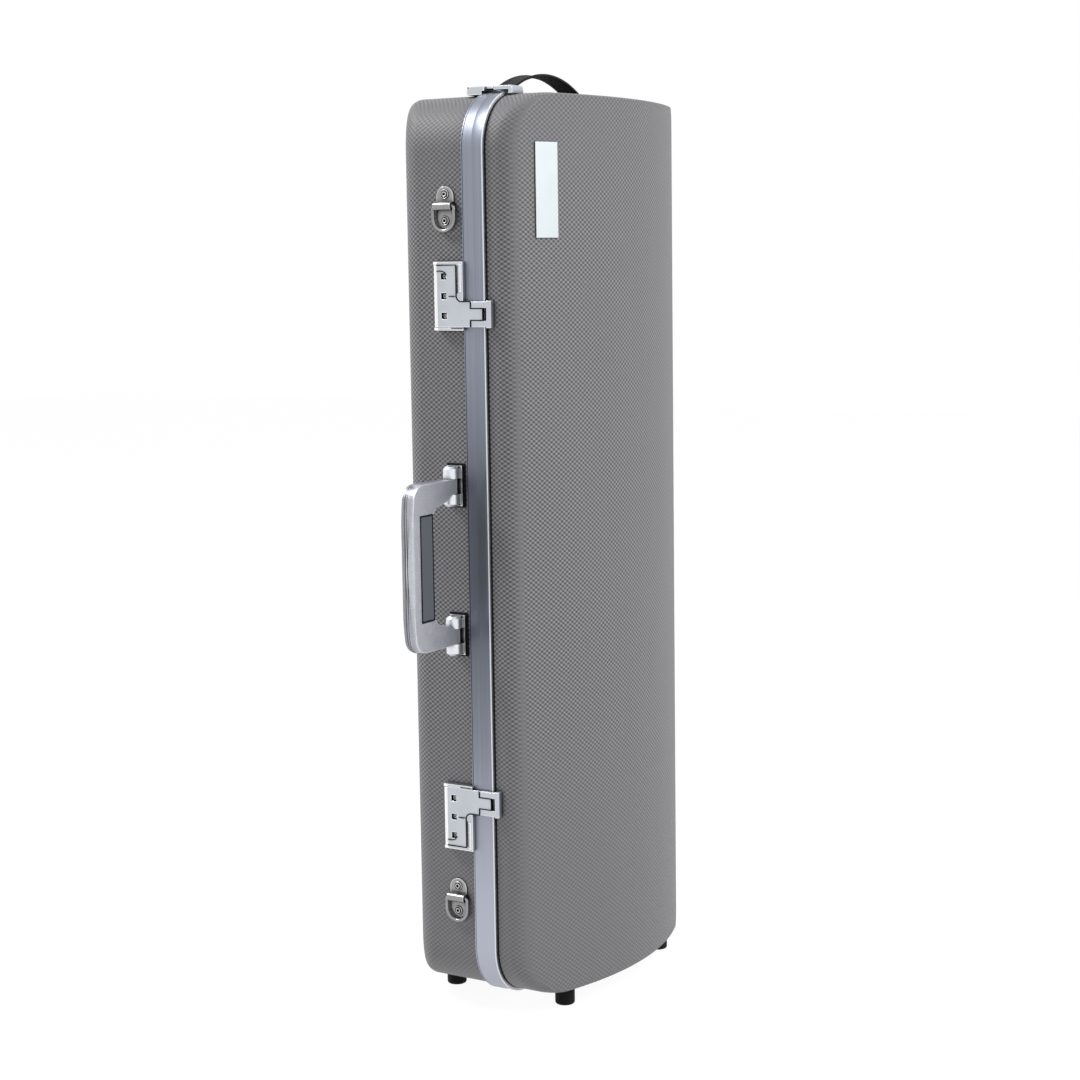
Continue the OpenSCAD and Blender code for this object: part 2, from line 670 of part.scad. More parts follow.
// Feet: rubber buttons screwed to the bottom end of both shells
near_foot_in = 1;
far_foot_in = 3;
near_foot_x = near_r + foot_d + near_foot_in - case_w / 2;
far_foot_x = case_w / 2 - far_r - foot_d / 2 - far_foot_in;
base_foot_y = 66;
lid_foot_y = -51;
foot_screw_r = 2;
foot_head_r = 4;
foot_head_h = 2.4;
foot_seat = 6;
foot_head_gap = 0.5;
foot_taper = 1;
foot_taper_h = 2;
module foot(x, y) {
    translate([x, y, 0]) difference() {
        union() {
            cylinder(r1 = foot_d / 2 - foot_taper, r2 = foot_d / 2, h = foot_taper_h, $fn = round_fn);
            rod_z(foot_d / 2, foot_taper_h, foot_h);
        }
        rod_z(foot_screw_r + pin_fit, -over, foot_h + over);
        rod_z(foot_head_r + foot_head_gap, -over, foot_seat);
    }
}
module foot_screw(x, y) {
    translate([x, y, 0]) {
        rod_z(foot_screw_r, foot_seat - over / 2, foot_h + wall_t);
        rod_z(foot_head_r, foot_seat - foot_head_h, foot_seat);
    }
}
module base_feet() color("#1c1c1e") for (x = [near_foot_x, far_foot_x]) foot(x, base_foot_y);
module lid_feet() color("#1c1c1e") for (x = [near_foot_x, far_foot_x]) foot(x, lid_foot_y);
module base_foot_screws() color("gray") for (x = [near_foot_x, far_foot_x]) foot_screw(x, base_foot_y);
module lid_foot_screws() color("gray") for (x = [near_foot_x, far_foot_x]) foot_screw(x, lid_foot_y);

// Top strap: a webbing arch between two plates on the top end of the base
strap_y = 15.1;
strap_flat = 12;
strap_plate_t = 1.5;
strap_arc_r = (strap_span * strap_span / 4 + strap_rise * strap_rise) / (2 * strap_rise);
strap_screw_x = strap_span / 2 + strap_flat / 2;
module at_strap_screws() {
    for (s = [-1, 1]) for (y = [-1, 1])
        translate([ends_x + s * strap_screw_x, strap_y + y * strap_w / 4, shell_z1]) children();
}
module strap_side() {
    difference() {
        union() {
            intersection() {
                translate([0, strap_rise - strap_arc_r]) circle(r = strap_arc_r, $fn = arch_fn);
                translate([-strap_span, 0]) square([2 * strap_span, 2 * strap_rise]);
            }
            translate([-strap_span / 2 - strap_flat, 0]) square([strap_span + 2 * strap_flat, strap_t]);
        }
        intersection() {
            translate([0, strap_rise - strap_arc_r]) circle(r = strap_arc_r - strap_t, $fn = arch_fn);
            translate([-strap_span, -over]) square([2 * strap_span, 2 * strap_rise]);
        }
    }
}
module top_strap() {
    color("#202022") difference() {
        translate([ends_x, strap_y + strap_w / 2, shell_z1])
            rotate([90, 0, 0]) linear_extrude(strap_w) strap_side();
        at_strap_screws() rod_z(screw_r + pin_fit, -over, strap_t + over);
    }
}
strap_plate_l = 10;
module strap_plates() {
    color("silver") difference() {
        for (s = [-1, 1]) translate([ends_x + s * strap_screw_x, strap_y, shell_z1 + strap_t])
            slot_box([-strap_plate_l / 2, -strap_w / 2, 0], [strap_plate_l / 2, strap_w / 2, strap_plate_t]);
        at_strap_screws() rod_z(screw_r + pin_fit, -over, strap_w);
    }
}
module strap_screws() {
    color("gray") at_strap_screws() translate([0, 0, strap_t + strap_plate_t]) rotate([0, -90, 0])
        screw(screw_r, strap_t + strap_plate_t + wall_t, screw_head_r, screw_head_h);
}

// Holes in the shells for every screw and rivet that goes through them
module hole_z(x, y, z, r) translate([x, y, z]) rod_z(r + pin_fit, -2 * wall_t, 2 * wall_t);
module hole_x(x, y, z, r) translate([x, y, z]) rod_x(r + pin_fit, -2 * wall_t, 2 * wall_t);
module base_holes() {
    for (x = [near_foot_x, far_foot_x]) hole_z(x, base_foot_y, shell_z0, foot_screw_r);
    for (i = [0, 1]) for (s = ring_screw_z) hole_x(-shell_x, ring_y, ring_top(i) + s, ring_screw_r);
    for (s = [-1, 1]) hole_x(-shell_x, handle_y, fittings_z + s * pin_z, screw_r);
    for (s = [-1, 1]) for (z = windows(0))
        hole_x(-shell_x, window_y, fittings_z + s * latch_z + z, screw_r);
    for (z = windows(2)) hole_z(top_latch_x + z, top_window_y, shell_z1, screw_r);
    at_strap_screws() hole_z(0, 0, 0, screw_r);
}
module lid_holes() {
    for (x = [near_foot_x, far_foot_x]) hole_z(x, lid_foot_y, shell_z0, foot_screw_r);
    for (z = hinge_places) for (r = rivet_places)
        hole_x(shell_x, lid_rivet_y, z + r, rivet_r);
}

module base_shell() {
    color("#8f8b8a") difference() {
        shell(band_p, shell_edge, base_depth, wall_t, base_end_r);
        base_holes();
    }
}
module lid_shell() {
    color("#8f8b8a") difference() {
        mirror([0, 1, 0]) shell(band_p, -lid_edge, lid_depth, wall_t, lid_end_r);
        lid_holes();
    }
}
module base_frame() {
    color("#b4b9c1") difference() {
        union() {
            ring(0, band_p, -band_w, 0);
            ring(band_p - over, band_p + channel_in + flange_t, -band_w, web_t - band_w);
            ring(band_p + channel_in, band_p + channel_in + flange_t, -band_w, flange_end);
        }
        for (z = hinge_places) for (r = rivet_places)
            translate([shell_x, base_rivet_y, z + r]) rod_x(rivet_r + pin_fit, -over, 2 * band_p);
    }
}
module lid_seal() {
    color("#141416") ring(band_p - rest_gap, band_p + channel_in + flange_t, seal_y, lid_edge);
}
module lid_frame() {
    color("#b4b9c1") {
        ring(band_p + channel_in, band_p + channel_in + flange_t, lid_edge, lid_edge - lid_flange_l);
        ring(band_p + channel_in + flange_t - over, band_p + rim_in + tongue_t,
            lid_edge, lid_edge - flange_t);
        ring(band_p + rim_in, band_p + rim_in + tongue_t, lid_edge - flange_t, tongue_end);
    }
}
lining_in = band_p + wall_t + rest_gap;
base_lining_edge = flange_end + rest_gap;
lid_lining_edge = lid_edge - lid_flange_l - rest_gap;
module base_lining() {
    color("#2e3a4c")
        shell(lining_in, base_lining_edge, base_depth - wall_t - rest_gap, lining_t, base_end_r);
}
module lid_lining() {
    color("#2e3a4c") mirror([0, 1, 0])
        shell(lining_in, -lid_lining_edge, lid_depth - wall_t - rest_gap, lining_t, lid_end_r);
}

// Cradle: a foam block that fills the base, with a well for the viola and pockets beside its neck
cradle_in = lining_in + lining_t + rest_gap;
cradle_top = -6;
cradle_step = 42;
cradle_crown = base_depth - wall_t - 2 * rest_gap - lining_t;
cradle_low_in = cradle_in + shoulder_r / 2;
well_end = 12;
well_z0 = shell_z0 + cradle_in + well_end;
well_z1 = well_z0 + well_l;
// Places along the body, and its half widths there as shares of the lower bout's half width
body_at_share = [
    0, 0.01, 0.05, 0.12, 0.20, 0.28, 0.34, 0.38, 0.44, 0.50,
    0.56, 0.62, 0.67, 0.73, 0.80, 0.88, 0.94, 0.98, 1
];
body_w_share = [
    0.30, 0.50, 0.78, 0.96, 1, 0.97, 0.88, 0.80, 0.66, 0.63,
    0.65, 0.72, 0.79, 0.82, 0.81, 0.70, 0.52, 0.32, 0.20
];
// From the top end down: a pocket, the hollow for the scroll, and the pockets beside the neck
foam_wall = 6;
pocket_side = 14;
pocket_floor = 44;
top_pocket_l = 51.4;
top_pocket_z1 = shell_z1 - cradle_in - foam_wall;
top_pocket_z0 = top_pocket_z1 - top_pocket_l;
scroll_r = 32;
scroll_z = top_pocket_z0 - pocket_side - scroll_r;
pocket_low = 26;
pocket_z0 = well_z1 + pocket_low;
pocket_z1 = scroll_z;
pocket_x0 = neck_w / 2 + pocket_side;
pocket_x1 = shell_x - cradle_in - foam_wall;
far_pocket_in = 12;

function body_side(s) = [for (i = [0:len(body_at_share) - 1])
    [s * body_w_share[i] * well_w / 2, well_z0 + body_at_share[i] * well_l]];
function reversed(p) = [for (i = [len(p) - 1:-1:0]) p[i]];
module well_cut() {
    translate([0, well_floor, 0]) rotate([90, 0, 0]) linear_extrude(well_floor - cradle_top + over) {
        polygon(concat(body_side(1), reversed(body_side(-1))));
        translate([-neck_w / 2, well_z1 - over]) square([neck_w, scroll_z - well_z1 + over]);
        translate([0, scroll_z]) circle(r = scroll_r, $fn = round_fn);
    }
}
module viola_cradle() {
    color("#2e3a4c") difference() {
        intersection() {
            union() {
                slab(cradle_in, cradle_top, cradle_step);
                slab(cradle_low_in, cradle_top, base_depth);
            }
            translate([arch_x, cradle_crown - arch_r, shell_z0])
                cylinder(r = arch_r, h = case_l, $fn = 2 * arch_fn);
        }
        well_cut();
        for (s = [-1, 1]) slot_box([s > 0 ? pocket_x0 : -pocket_x1, cradle_top - over, pocket_z0],
            [s > 0 ? pocket_x1 : -pocket_x0, pocket_floor, pocket_z1]);
        slot_box([near_r - case_w / 2, cradle_top - over, top_pocket_z0],
            [case_w / 2 - far_r - far_pocket_in, pocket_floor, top_pocket_z1]);
    }
}

// Pads on the well's floor, the block under the neck and the strap over it
pad_h = 5;
pad_l = 70;
pad_w = 130;
pad_crown = 2;
module back_pad(z, w) {
    // A cushion with a crowned top, as the cut of a large cylinder
    r = (w * w / 4 + pad_crown * pad_crown) / (2 * pad_crown);
    top = well_floor - pad_h - pad_crown;
    color("#3c4b60") intersection() {
        slot_box([-w / 2, top, z - pad_l / 2], [w / 2, well_floor - rest_gap, z + pad_l / 2]);
        translate([0, top + r, z - pad_l]) cylinder(r = r, h = 2 * pad_l, $fn = 3 * arch_fn);
    }
}
lower_pad_share = 0.22;
upper_pad_share = 0.78;
upper_pad_w_share = 0.75;
module lower_back_pad() back_pad(well_z0 + lower_pad_share * well_l, pad_w);
module upper_back_pad() back_pad(well_z0 + upper_pad_share * well_l, upper_pad_w_share * pad_w);
neck_block_l = 50;
neck_block_share = 0.447;
neck_block_z = well_z1 + neck_block_share * (scroll_z - well_z1);
neck_block_top = 12;
neck_notch_r = 15;
module neck_block() {
    w = neck_w / 2 - rest_gap;
    color("#3c4b60") difference() {
        slot_box([-w, neck_block_top, neck_block_z], [w, well_floor - rest_gap, neck_block_z + neck_block_l]);
        translate([0, neck_block_top, neck_block_z]) rod_z(neck_notch_r, -over, neck_block_l + over);
    }
}
neck_strap_w = 20;
neck_strap_t = 1.6;
neck_strap_end = 12;
module neck_strap() {
    z = neck_block_z + neck_block_l / 2 - neck_strap_w / 2;
    color("#202022") slot_box([-neck_w / 2 - neck_strap_end, cradle_top - neck_strap_t, z],
        [neck_w / 2 + neck_strap_end, cradle_top, z + neck_strap_w]);
}

// Trays that lift out of the pockets beside the neck
tray_t = 2;
module tray(s) {
    x0 = pocket_x0 + rest_gap;
    x1 = pocket_x1 - rest_gap;
    z0 = pocket_z0 + rest_gap;
    z1 = pocket_z1 - rest_gap;
    mid = (z0 + z1) / 2;
    color("#566275") mirror([s < 0 ? 1 : 0, 0, 0]) difference() {
        slot_box([x0, cradle_top, z0], [x1, pocket_floor - rest_gap, z1]);
        for (side = [[z0 + tray_t, mid - tray_t / 2], [mid + tray_t / 2, z1 - tray_t]])
            slot_box([x0 + tray_t, cradle_top - over, side[0]],
                [x1 - tray_t, pocket_floor - rest_gap - tray_t, side[1]]);
    }
}
module near_tray() tray(-1);
module far_tray() tray(1);

// The lid's inside: posts with turn buttons hold the bows' frogs, and sleeves hold their tips
bow_off = 70;
bow_button_end = 80;
bow_tip_end = 18;
bow_button_z = shell_z0 + bow_button_end;
post_base = [34, 4, 24];
post_r = 7;
post_h = 26;
button_l = 46;
button_w = 14;
button_t = 5;
button_screw_r = 2;
button_head_r = 4;
button_head_h = 1.6;
lid_face = lid_depth - wall_t - rest_gap - lining_t;
// A flat base as wide as this clears the arched lining by the resting gap
function seat_gap(w) = rest_gap + w * w / (8 * arch_r);
post_seat = seat_gap(post_base.x);
// A place on the lining of the lid, local Y pointing into the case
module on_lid_lining(s, z) {
    translate([arch_x, arch_r - lid_face, z]) rotate([0, 0, s * asin(bow_off / arch_r)])
        translate([0, -arch_r, 0]) children();
}
module bow_post(s) {
    color("#2a2c30") on_lid_lining(s, bow_button_z) translate([0, post_seat, 0]) difference() {
        union() {
            slot_box([-post_base.x / 2, 0, -post_base.z / 2],
                [post_base.x / 2, post_base.y, post_base.z / 2]);
            rod_y(post_r, post_base.y - over, post_base.y + post_h);
        }
        rod_y(button_screw_r + pin_fit / 2, post_base.y + over, post_base.y + post_h + over);
    }
}
module bow_button(s) {
    y0 = post_seat + post_base.y + post_h + move_gap;
    half = (button_l - button_w) / 2;
    color("#2a2c30") on_lid_lining(s, bow_button_z) difference() {
        union() {
            slot_box([-button_w / 2, y0, -half], [button_w / 2, y0 + button_t, half]);
            for (e = [-1, 1]) translate([0, 0, e * half]) rod_y(button_w / 2, y0, y0 + button_t);
        }
        rod_y(button_screw_r + pin_fit, y0 - over, y0 + button_t + over);
    }
}
module bow_post_screws() {
    y0 = post_seat + post_base.y + post_h + 2 * move_gap + button_t;
    color("gray") for (s = [-1, 1]) on_lid_lining(s, bow_button_z) {
        rod_y(button_screw_r, post_base.y + 2 * over, y0 + button_head_h / 2);
        rod_y(button_head_r, y0, y0 + button_head_h);
    }
}
sleeve = [30, 20, 60];
sleeve_bore_r = 7;
sleeve_end = 6;
bow_tip_z = shell_z1 - bow_tip_end - sleeve.z;
module bow_tip_sleeves() {
    color("#3c4b60") for (s = [-1, 1]) on_lid_lining(s, bow_tip_z) difference() {
        slot_box([-sleeve.x / 2, seat_gap(sleeve.x), 0], [sleeve.x / 2, sleeve.y, sleeve.z]);
        translate([0, sleeve.y / 2, 0]) rod_z(sleeve_bore_r, -over, sleeve.z - sleeve_end);
    }
}

// A bare plate on the sloping near side of the lid's face
badge = [23.5, 1.2, 80.5];
badge_from_near = 38.1;
badge_drop = 85.4;
module badge_plate() {
    off = badge_from_near - case_w / 2 - arch_x;
    color("#e9eaec") translate([arch_x, arch_r - lid_depth, mid_z + case_l / 2 - badge_drop])
        rotate([0, 0, asin(off / arch_r)]) translate([0, -arch_r, 0])
            slot_box([-badge.x / 2, -badge.y, -badge.z / 2], [badge.x / 2, 0, badge.z / 2]);
}

placed() base_shell();
placed() base_frame();
placed() base_lining();
placed() viola_cradle();
placed() lower_back_pad();
placed() upper_back_pad();
placed() neck_block();
placed() neck_strap();
placed() near_tray();
placed() far_tray();
placed() base_feet();
placed() base_foot_screws();
placed() handle_bracket(1);  // upper_handle_bracket
placed() handle_bracket(-1);  // lower_handle_bracket
placed() bracket_pads();
placed() bracket_screws();
placed() handle_pins();
placed() latch_housing(0);  // upper_latch_housing
placed() latch_housing(1);  // lower_latch_housing
placed() latch_housing(2);  // top_latch_housing
placed() latch_pins();
placed() latch_screws();
placed() ring_plate(ring_top(0));  // upper_ring_plate
placed() ring_plate(ring_top(1));  // lower_ring_plate
placed() ring_screws();
placed() base_hinge_leaves();
placed() hinge_pins();
placed() base_hinge_rivets();
placed() top_strap();
placed() strap_plates();
placed() strap_screws();
placed() lid_shell();
placed() lid_seal();
placed() lid_frame();
placed() lid_lining();
placed() catch(0);  // upper_catch
placed() catch(1);  // lower_catch
placed() catch(2);  // top_catch
placed() lid_hinge_leaves();
placed() lid_hinge_rivets();
placed() badge_plate();
placed() lid_feet();
placed() lid_foot_screws();
placed() bow_post(-1);  // near_bow_post
placed() bow_post(1);  // far_bow_post
placed() bow_post_screws();
placed() bow_tip_sleeves();
placed() latch_lever(0);  // upper_latch_lever
placed() latch_lever(1);  // lower_latch_lever
placed() latch_lever(2);  // top_latch_lever
placed() carry_handle();
placed() handle_grip();
placed() strap_ring(ring_top(0));  // upper_ring
placed() strap_ring(ring_top(1));  // lower_ring
placed() bow_button(-1);  // near_bow_button
placed() bow_button(1);  // far_bow_button
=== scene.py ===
# %% [markdown]
# A viola case, dressed for the photograph
#
# The case is packed as a frame of solid parts, and this script gives those parts their looks.
# Everything is in metres. The case stands on end: X runs from the handle side to the hinges,
# Y from the lid to the back of the base, and Z up along its length.

# %% Load the frame
import json
import math

import bmesh
import bpy
from mathutils import Matrix, Vector


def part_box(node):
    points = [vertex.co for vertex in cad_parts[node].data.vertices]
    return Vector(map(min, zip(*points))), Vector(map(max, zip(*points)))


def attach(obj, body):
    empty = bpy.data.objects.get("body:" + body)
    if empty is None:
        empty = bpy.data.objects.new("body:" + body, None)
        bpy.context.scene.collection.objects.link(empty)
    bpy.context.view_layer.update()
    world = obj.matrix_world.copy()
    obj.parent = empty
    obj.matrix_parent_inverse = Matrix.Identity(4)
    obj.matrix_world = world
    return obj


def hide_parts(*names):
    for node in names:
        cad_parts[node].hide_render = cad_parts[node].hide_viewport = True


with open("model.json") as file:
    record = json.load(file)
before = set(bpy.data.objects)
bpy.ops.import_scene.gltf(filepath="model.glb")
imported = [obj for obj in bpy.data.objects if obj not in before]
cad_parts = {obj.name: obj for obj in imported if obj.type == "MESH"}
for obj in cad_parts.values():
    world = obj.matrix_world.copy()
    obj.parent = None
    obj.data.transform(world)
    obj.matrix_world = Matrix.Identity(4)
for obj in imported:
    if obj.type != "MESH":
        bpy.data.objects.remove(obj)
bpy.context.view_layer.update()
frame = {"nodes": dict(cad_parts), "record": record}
scene = bpy.context.scene

# %% [markdown]
# The places that the pieces share
#
# The closing frame is a rounded rectangle with two large corners on the handle side and two small
# ones on the hinge side. Its box gives the outline, and the arched faces are parts of a large
# cylinder whose axis lies beside the middle of the case.

# %% Outline and arch
MM = 0.001
band_low, band_high = (Vector(corner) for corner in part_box("base_frame"))
MIDDLE = (band_low + band_high) / 2
HALF_WIDTH = (band_high.x - band_low.x) / 2
HALF_LENGTH = (band_high.z - band_low.z) / 2
NEAR_RADIUS = 50 * MM
FAR_RADIUS = 22 * MM
BAND_PROUD = 3 * MM
ARCH_RADIUS = 308 * MM
ARCH_X = MIDDLE.x + 12 * MM
SHOULDER_RADIUS = 13 * MM
BASE_END_RADIUS = 8 * MM
LID_END_RADIUS = 2.5 * MM
WALL = 4 * MM
print("outline", round(2 * HALF_WIDTH, 3), "by", round(2 * HALF_LENGTH, 3))


def sag(x):
    """How far the arched face has dropped from its crown at this X."""
    return ARCH_RADIUS - math.sqrt(ARCH_RADIUS ** 2 - (x - ARCH_X) ** 2)


def at(x, y, z):
    """A place in the case's own millimetres: X from its middle, Y from the band's back edge."""
    return Vector((MIDDLE.x + x * MM, band_high.y + y * MM, z * MM))


# %% [markdown]
# The camera
#
# The photograph was taken from a little over two metres away, to the left of the lid and slightly
# above the middle, so the camera is placed by its three directions instead of by angles. A camera
# looks along its own minus Z.

# %% Camera
EYE = Vector((-1.63965, -1.01065, 0.6677))
LOOKS = Vector((0.84785, 0.51409, -0.12988))
TO_THE_RIGHT = Vector((0.51683, -0.85597, -0.01423))
LENS = 71.08

camera = bpy.data.objects.new("camera", bpy.data.cameras.new("camera"))
scene.collection.objects.link(camera)
turn = Matrix((TO_THE_RIGHT, TO_THE_RIGHT.cross(LOOKS), -LOOKS)).transposed()
camera.matrix_world = Matrix.Translation(EYE) @ turn.to_4x4()
camera.data.lens = LENS
camera.data.sensor_width = 36
scene.camera = camera
scene.view_settings.view_transform = "Standard"

# %% [markdown]
# Shader maths
#
# A pattern such as an embossed grain is a sum of waves, which would take a dozen Math nodes. This
# small class wraps a socket, so that an ordinary expression adds the nodes by itself.


# %% Sockets that can be added and multiplied
class Wire:
    """A value in a material: arithmetic on it adds Math nodes."""

    def __init__(self, finish, socket):
        self.finish = finish
        self.socket = socket

    def math(self, operation, *others):
        inputs = dict(enumerate((self, *others)))
        return self.finish.node("ShaderNodeMath", inputs, operation=operation)

    def reflected(self, operation, other):
        return self.finish.node("ShaderNodeMath", {0: other, 1: self}, operation=operation)

    def __add__(self, other):
        return self.math("ADD", other)

    def __sub__(self, other):
        return self.math("SUBTRACT", other)

    def __mul__(self, other):
        return self.math("MULTIPLY", other)

    def __truediv__(self, other):
        return self.math("DIVIDE", other)

    def __pow__(self, other):
        return self.math("POWER", other)

    def __rsub__(self, other):
        return self.reflected("SUBTRACT", other)

    __radd__ = __add__
    __rmul__ = __mul__


# %% A material that adds its own nodes
class Finish:
    """A material on the Principled shader, with one method that adds any node."""

    def __init__(self, name, **sockets):
        self.material = bpy.data.materials.new(name)
        self.material.use_nodes = True
        self.tree = self.material.node_tree
        self.shader = self.tree.nodes["Principled BSDF"]
        for key, value in sockets.items():
            self.put(self.shader.inputs[key.replace("_", " ")], value)

    def put(self, socket, value):
        if isinstance(value, Wire):
            self.tree.links.new(value.socket, socket)
        elif socket.type == "RGBA":
            socket.default_value = (*value[:3], 1)
        else:
            socket.default_value = value

    def node(self, kind, inputs=None, output=0, stops=None, **settings):
        made = self.tree.nodes.new(kind)
        for key, value in settings.items():
            setattr(made, key, value)
        if stops:
            for element, (place, shade) in zip(made.color_ramp.elements, stops):
                element.position = place
                element.color = (*([shade] * 3), 1)
        for key, value in (inputs or {}).items():
            self.put(made.inputs[key], value)
        return Wire(self, made.outputs[output])

    def where(self):
        """The object coordinates, in metres."""
        return self.node("ShaderNodeTexCoord", output="Object")

    def split(self, vector):
        return [self.node("ShaderNodeSeparateXYZ", {0: vector}, output=i) for i in range(3)]

    def vector(self, x, y, z):
        return self.node("ShaderNodeCombineXYZ", {0: x, 1: y, 2: z})

    def noise(self, where, scale, detail=2.0, roughness=0.5):
        inputs = {"Vector": where, "Scale": scale, "Detail": detail, "Roughness": roughness}
        return self.node("ShaderNodeTexNoise", inputs)

    def ramp(self, value, low, high):
        """0 below the low value, 1 above the high one, and smooth between."""
        inputs = {"Value": value, "From Min": low, "From Max": high}
        return self.node("ShaderNodeMapRange", inputs, interpolation_type="SMOOTHSTEP")

    def mix(self, factor, first, second):
        """One colour to another."""
        inputs = {"Factor": factor, 6: first, 7: second}
        return self.node("ShaderNodeMix", inputs, output=2, data_type="RGBA")

    def set(self, **sockets):
        for key, value in sockets.items():
            self.put(self.shader.inputs[key.replace("_", " ")], value)

    def bump(self, height, distance, strength=1.0):
        inputs = {"Height": height, "Distance": distance, "Strength": strength}
        self.set(Normal=self.node("ShaderNodeBump", inputs))


# %% [markdown]
# The stage
#
# The photograph has a plain white ground. The floor is white to the camera and to reflections,
# while a share of it stays an ordinary matt surface, which keeps a soft shadow under the feet.


# %% Floor, world and lamps
FLOOR_SIZE = 14
SHADOW_SHARE = 0.16
AMBIENT = 0.33
# Bright enough that the lit floor still ends at white beside its matt share
FLOOR_GLOW = 1.12


def white_to_the_eye(tree, dim, bright):
    """A number that is the bright one for the camera, mirrors and glass, and else the dim one."""
    path = tree.nodes.new("ShaderNodeLightPath")
    total = path.outputs["Is Camera Ray"]
    for name in ("Is Glossy Ray", "Is Transmission Ray"):
        both = tree.nodes.new("ShaderNodeMath")
        both.operation = "MAXIMUM"
        tree.links.new(total, both.inputs[0])
        tree.links.new(path.outputs[name], both.inputs[1])
        total = both.outputs[0]
    spread = tree.nodes.new("ShaderNodeMapRange")
    spread.inputs["To Min"].default_value = dim
    spread.inputs["To Max"].default_value = bright
    tree.links.new(total, spread.inputs["Value"])
    return spread.outputs[0]


def make_floor():
    bm = bmesh.new()
    bmesh.ops.create_grid(bm, x_segments=1, y_segments=1, size=FLOOR_SIZE / 2)
    mesh = bpy.data.meshes.new("floor")
    bm.to_mesh(mesh)
    floor = bpy.data.objects.new("floor", mesh)
    scene.collection.objects.link(floor)
    ground = Finish("floor_white", Base_Color=(0.8, 0.8, 0.8), Roughness=1.0)
    glow = ground.tree.nodes.new("ShaderNodeEmission")
    glow.inputs["Strength"].default_value = FLOOR_GLOW
    mixer = ground.tree.nodes.new("ShaderNodeMixShader")
    share = white_to_the_eye(ground.tree, 0.0, 1 - SHADOW_SHARE)
    ground.tree.links.new(share, mixer.inputs[0])
    ground.tree.links.new(ground.shader.outputs[0], mixer.inputs[1])
    ground.tree.links.new(glow.outputs[0], mixer.inputs[2])
    ground.tree.links.new(mixer.outputs[0], ground.tree.nodes["Material Output"].inputs[0])
    floor.data.materials.append(ground.material)


def lamp(name, place, aim, size, power):
    light = bpy.data.objects.new(name, bpy.data.lights.new(name, "AREA"))
    light.data.size = size
    light.data.energy = power
    light.location = place
    light.rotation_euler = (Vector(aim) - Vector(place)).to_track_quat("-Z", "Y").to_euler()
    scene.collection.objects.link(light)


make_floor()
scene.world = bpy.data.worlds.new("studio")
scene.world.use_nodes = True
sky = scene.world.node_tree
sky.links.new(white_to_the_eye(sky, AMBIENT, 1.0), sky.nodes["Background"].inputs["Strength"])
sky.nodes["Background"].inputs["Color"].default_value = (1, 1, 1, 1)
CENTRE = (MIDDLE.x, MIDDLE.y, MIDDLE.z)
lamp("key", (0.3, -3.1, 2.6), CENTRE, 1.8, 74)
lamp("side", (-0.9, 1.8, 2.5), CENTRE, 0.8, 44)
print("stage ready")

# %% [markdown]
# The moulded shells' finish
#
# Both shells are drawn from a plastic sheet with a fine embossed net: two sets of raised lines
# cross on the slant and leave small diamond hollows. Besides the bump, shade is painted dark into
# the hollows and light onto the lines. The net runs round the rounded edges and fades there,
# because the sheet was stretched, and it is shallower towards the ends and the hinge side.
# It is made of two waves for each of the three main directions, chosen by the way the surface
# faces. Shade is painted in near black where a fitting meets the shell: an Ambient Occlusion node
# finds those places.

# %% Embossed shell
NET_ACROSS = 190
NET_ALONG = 245
NET_DEPTH = 0.45 * MM
NET_MEAN = 0.43
STRETCHED_TONE = 0.54
FACING = (0.62, 0.9)
LEFT_TO_RIGHT = (MIDDLE.x - 0.09, MIDDLE.x + 0.12)
LOW_END = (0.34, 0.10)
TOP_END = (0.68, 0.80)


def net(across, along):
    """The height of the embossed net, from 0 in a hollow to 1 where two lines cross."""
    slant = across * (2 * math.pi * NET_ACROSS)
    rise = along * (2 * math.pi * NET_ALONG)
    lines = [(wave.math("COSINE") * 0.5 + 0.5) ** 1.4 for wave in (slant + rise, slant - rise)]
    return (lines[0] + lines[1]) * 0.5


def painted_shade_mask(finish, reach=6 * MM, open_share=0.95):
    """0 deep in a corner or slot, where shade is painted into the colour, and 1 on open faces."""
    sky = finish.node("ShaderNodeAmbientOcclusion", {"Distance": reach}, output="AO", samples=8)
    return finish.ramp(sky, 0.3, open_share)


def shell_finish():
    finish = Finish("embossed_shell")
    where = finish.where()
    x, y, z = finish.split(where)
    unrolled = ((x - ARCH_X) / ARCH_RADIUS).math("ARCSINE") * ARCH_RADIUS
    facing = finish.node("ShaderNodeNewGeometry", output="Normal")
    sides, faces, ends = (finish.ramp(part.math("ABSOLUTE"), *FACING)
                          for part in finish.split(facing))
    stretched = (1 - (sides + faces + ends)).math("MAXIMUM", 0)
    height = net(y, z) * sides + net(unrolled, z) * faces + net(x, y) * ends
    height = height + stretched * STRETCHED_TONE
    shallow = finish.ramp(x, *LEFT_TO_RIGHT) * 0.45
    shallow = shallow.math("MAXIMUM", finish.ramp(z, *LOW_END) * 0.6)
    shallow = shallow.math("MAXIMUM", finish.ramp(z, *TOP_END) * 0.45)
    height = (height - NET_MEAN) * (1 - shallow) + NET_MEAN
    # Painted shade in the net's hollows and painted light on its lines, besides the bump
    shade = finish.mix(height, (0.052, 0.051, 0.057), (0.395, 0.392, 0.406))
    cloud = finish.noise(where, 9)
    tint = finish.mix(cloud * 0.06, shade, (0.30, 0.29, 0.28))
    # Painted shade: near black in corners and where fittings meet the shell
    tint = finish.mix(painted_shade_mask(finish, 5 * MM, 0.85), (0.012, 0.012, 0.014), tint)
    grain = finish.noise(where, 2600)
    finish.set(Base_Color=tint, Roughness=0.46 + grain * 0.12)
    finish.bump(height + grain * 0.10, NET_DEPTH)
    return finish.material
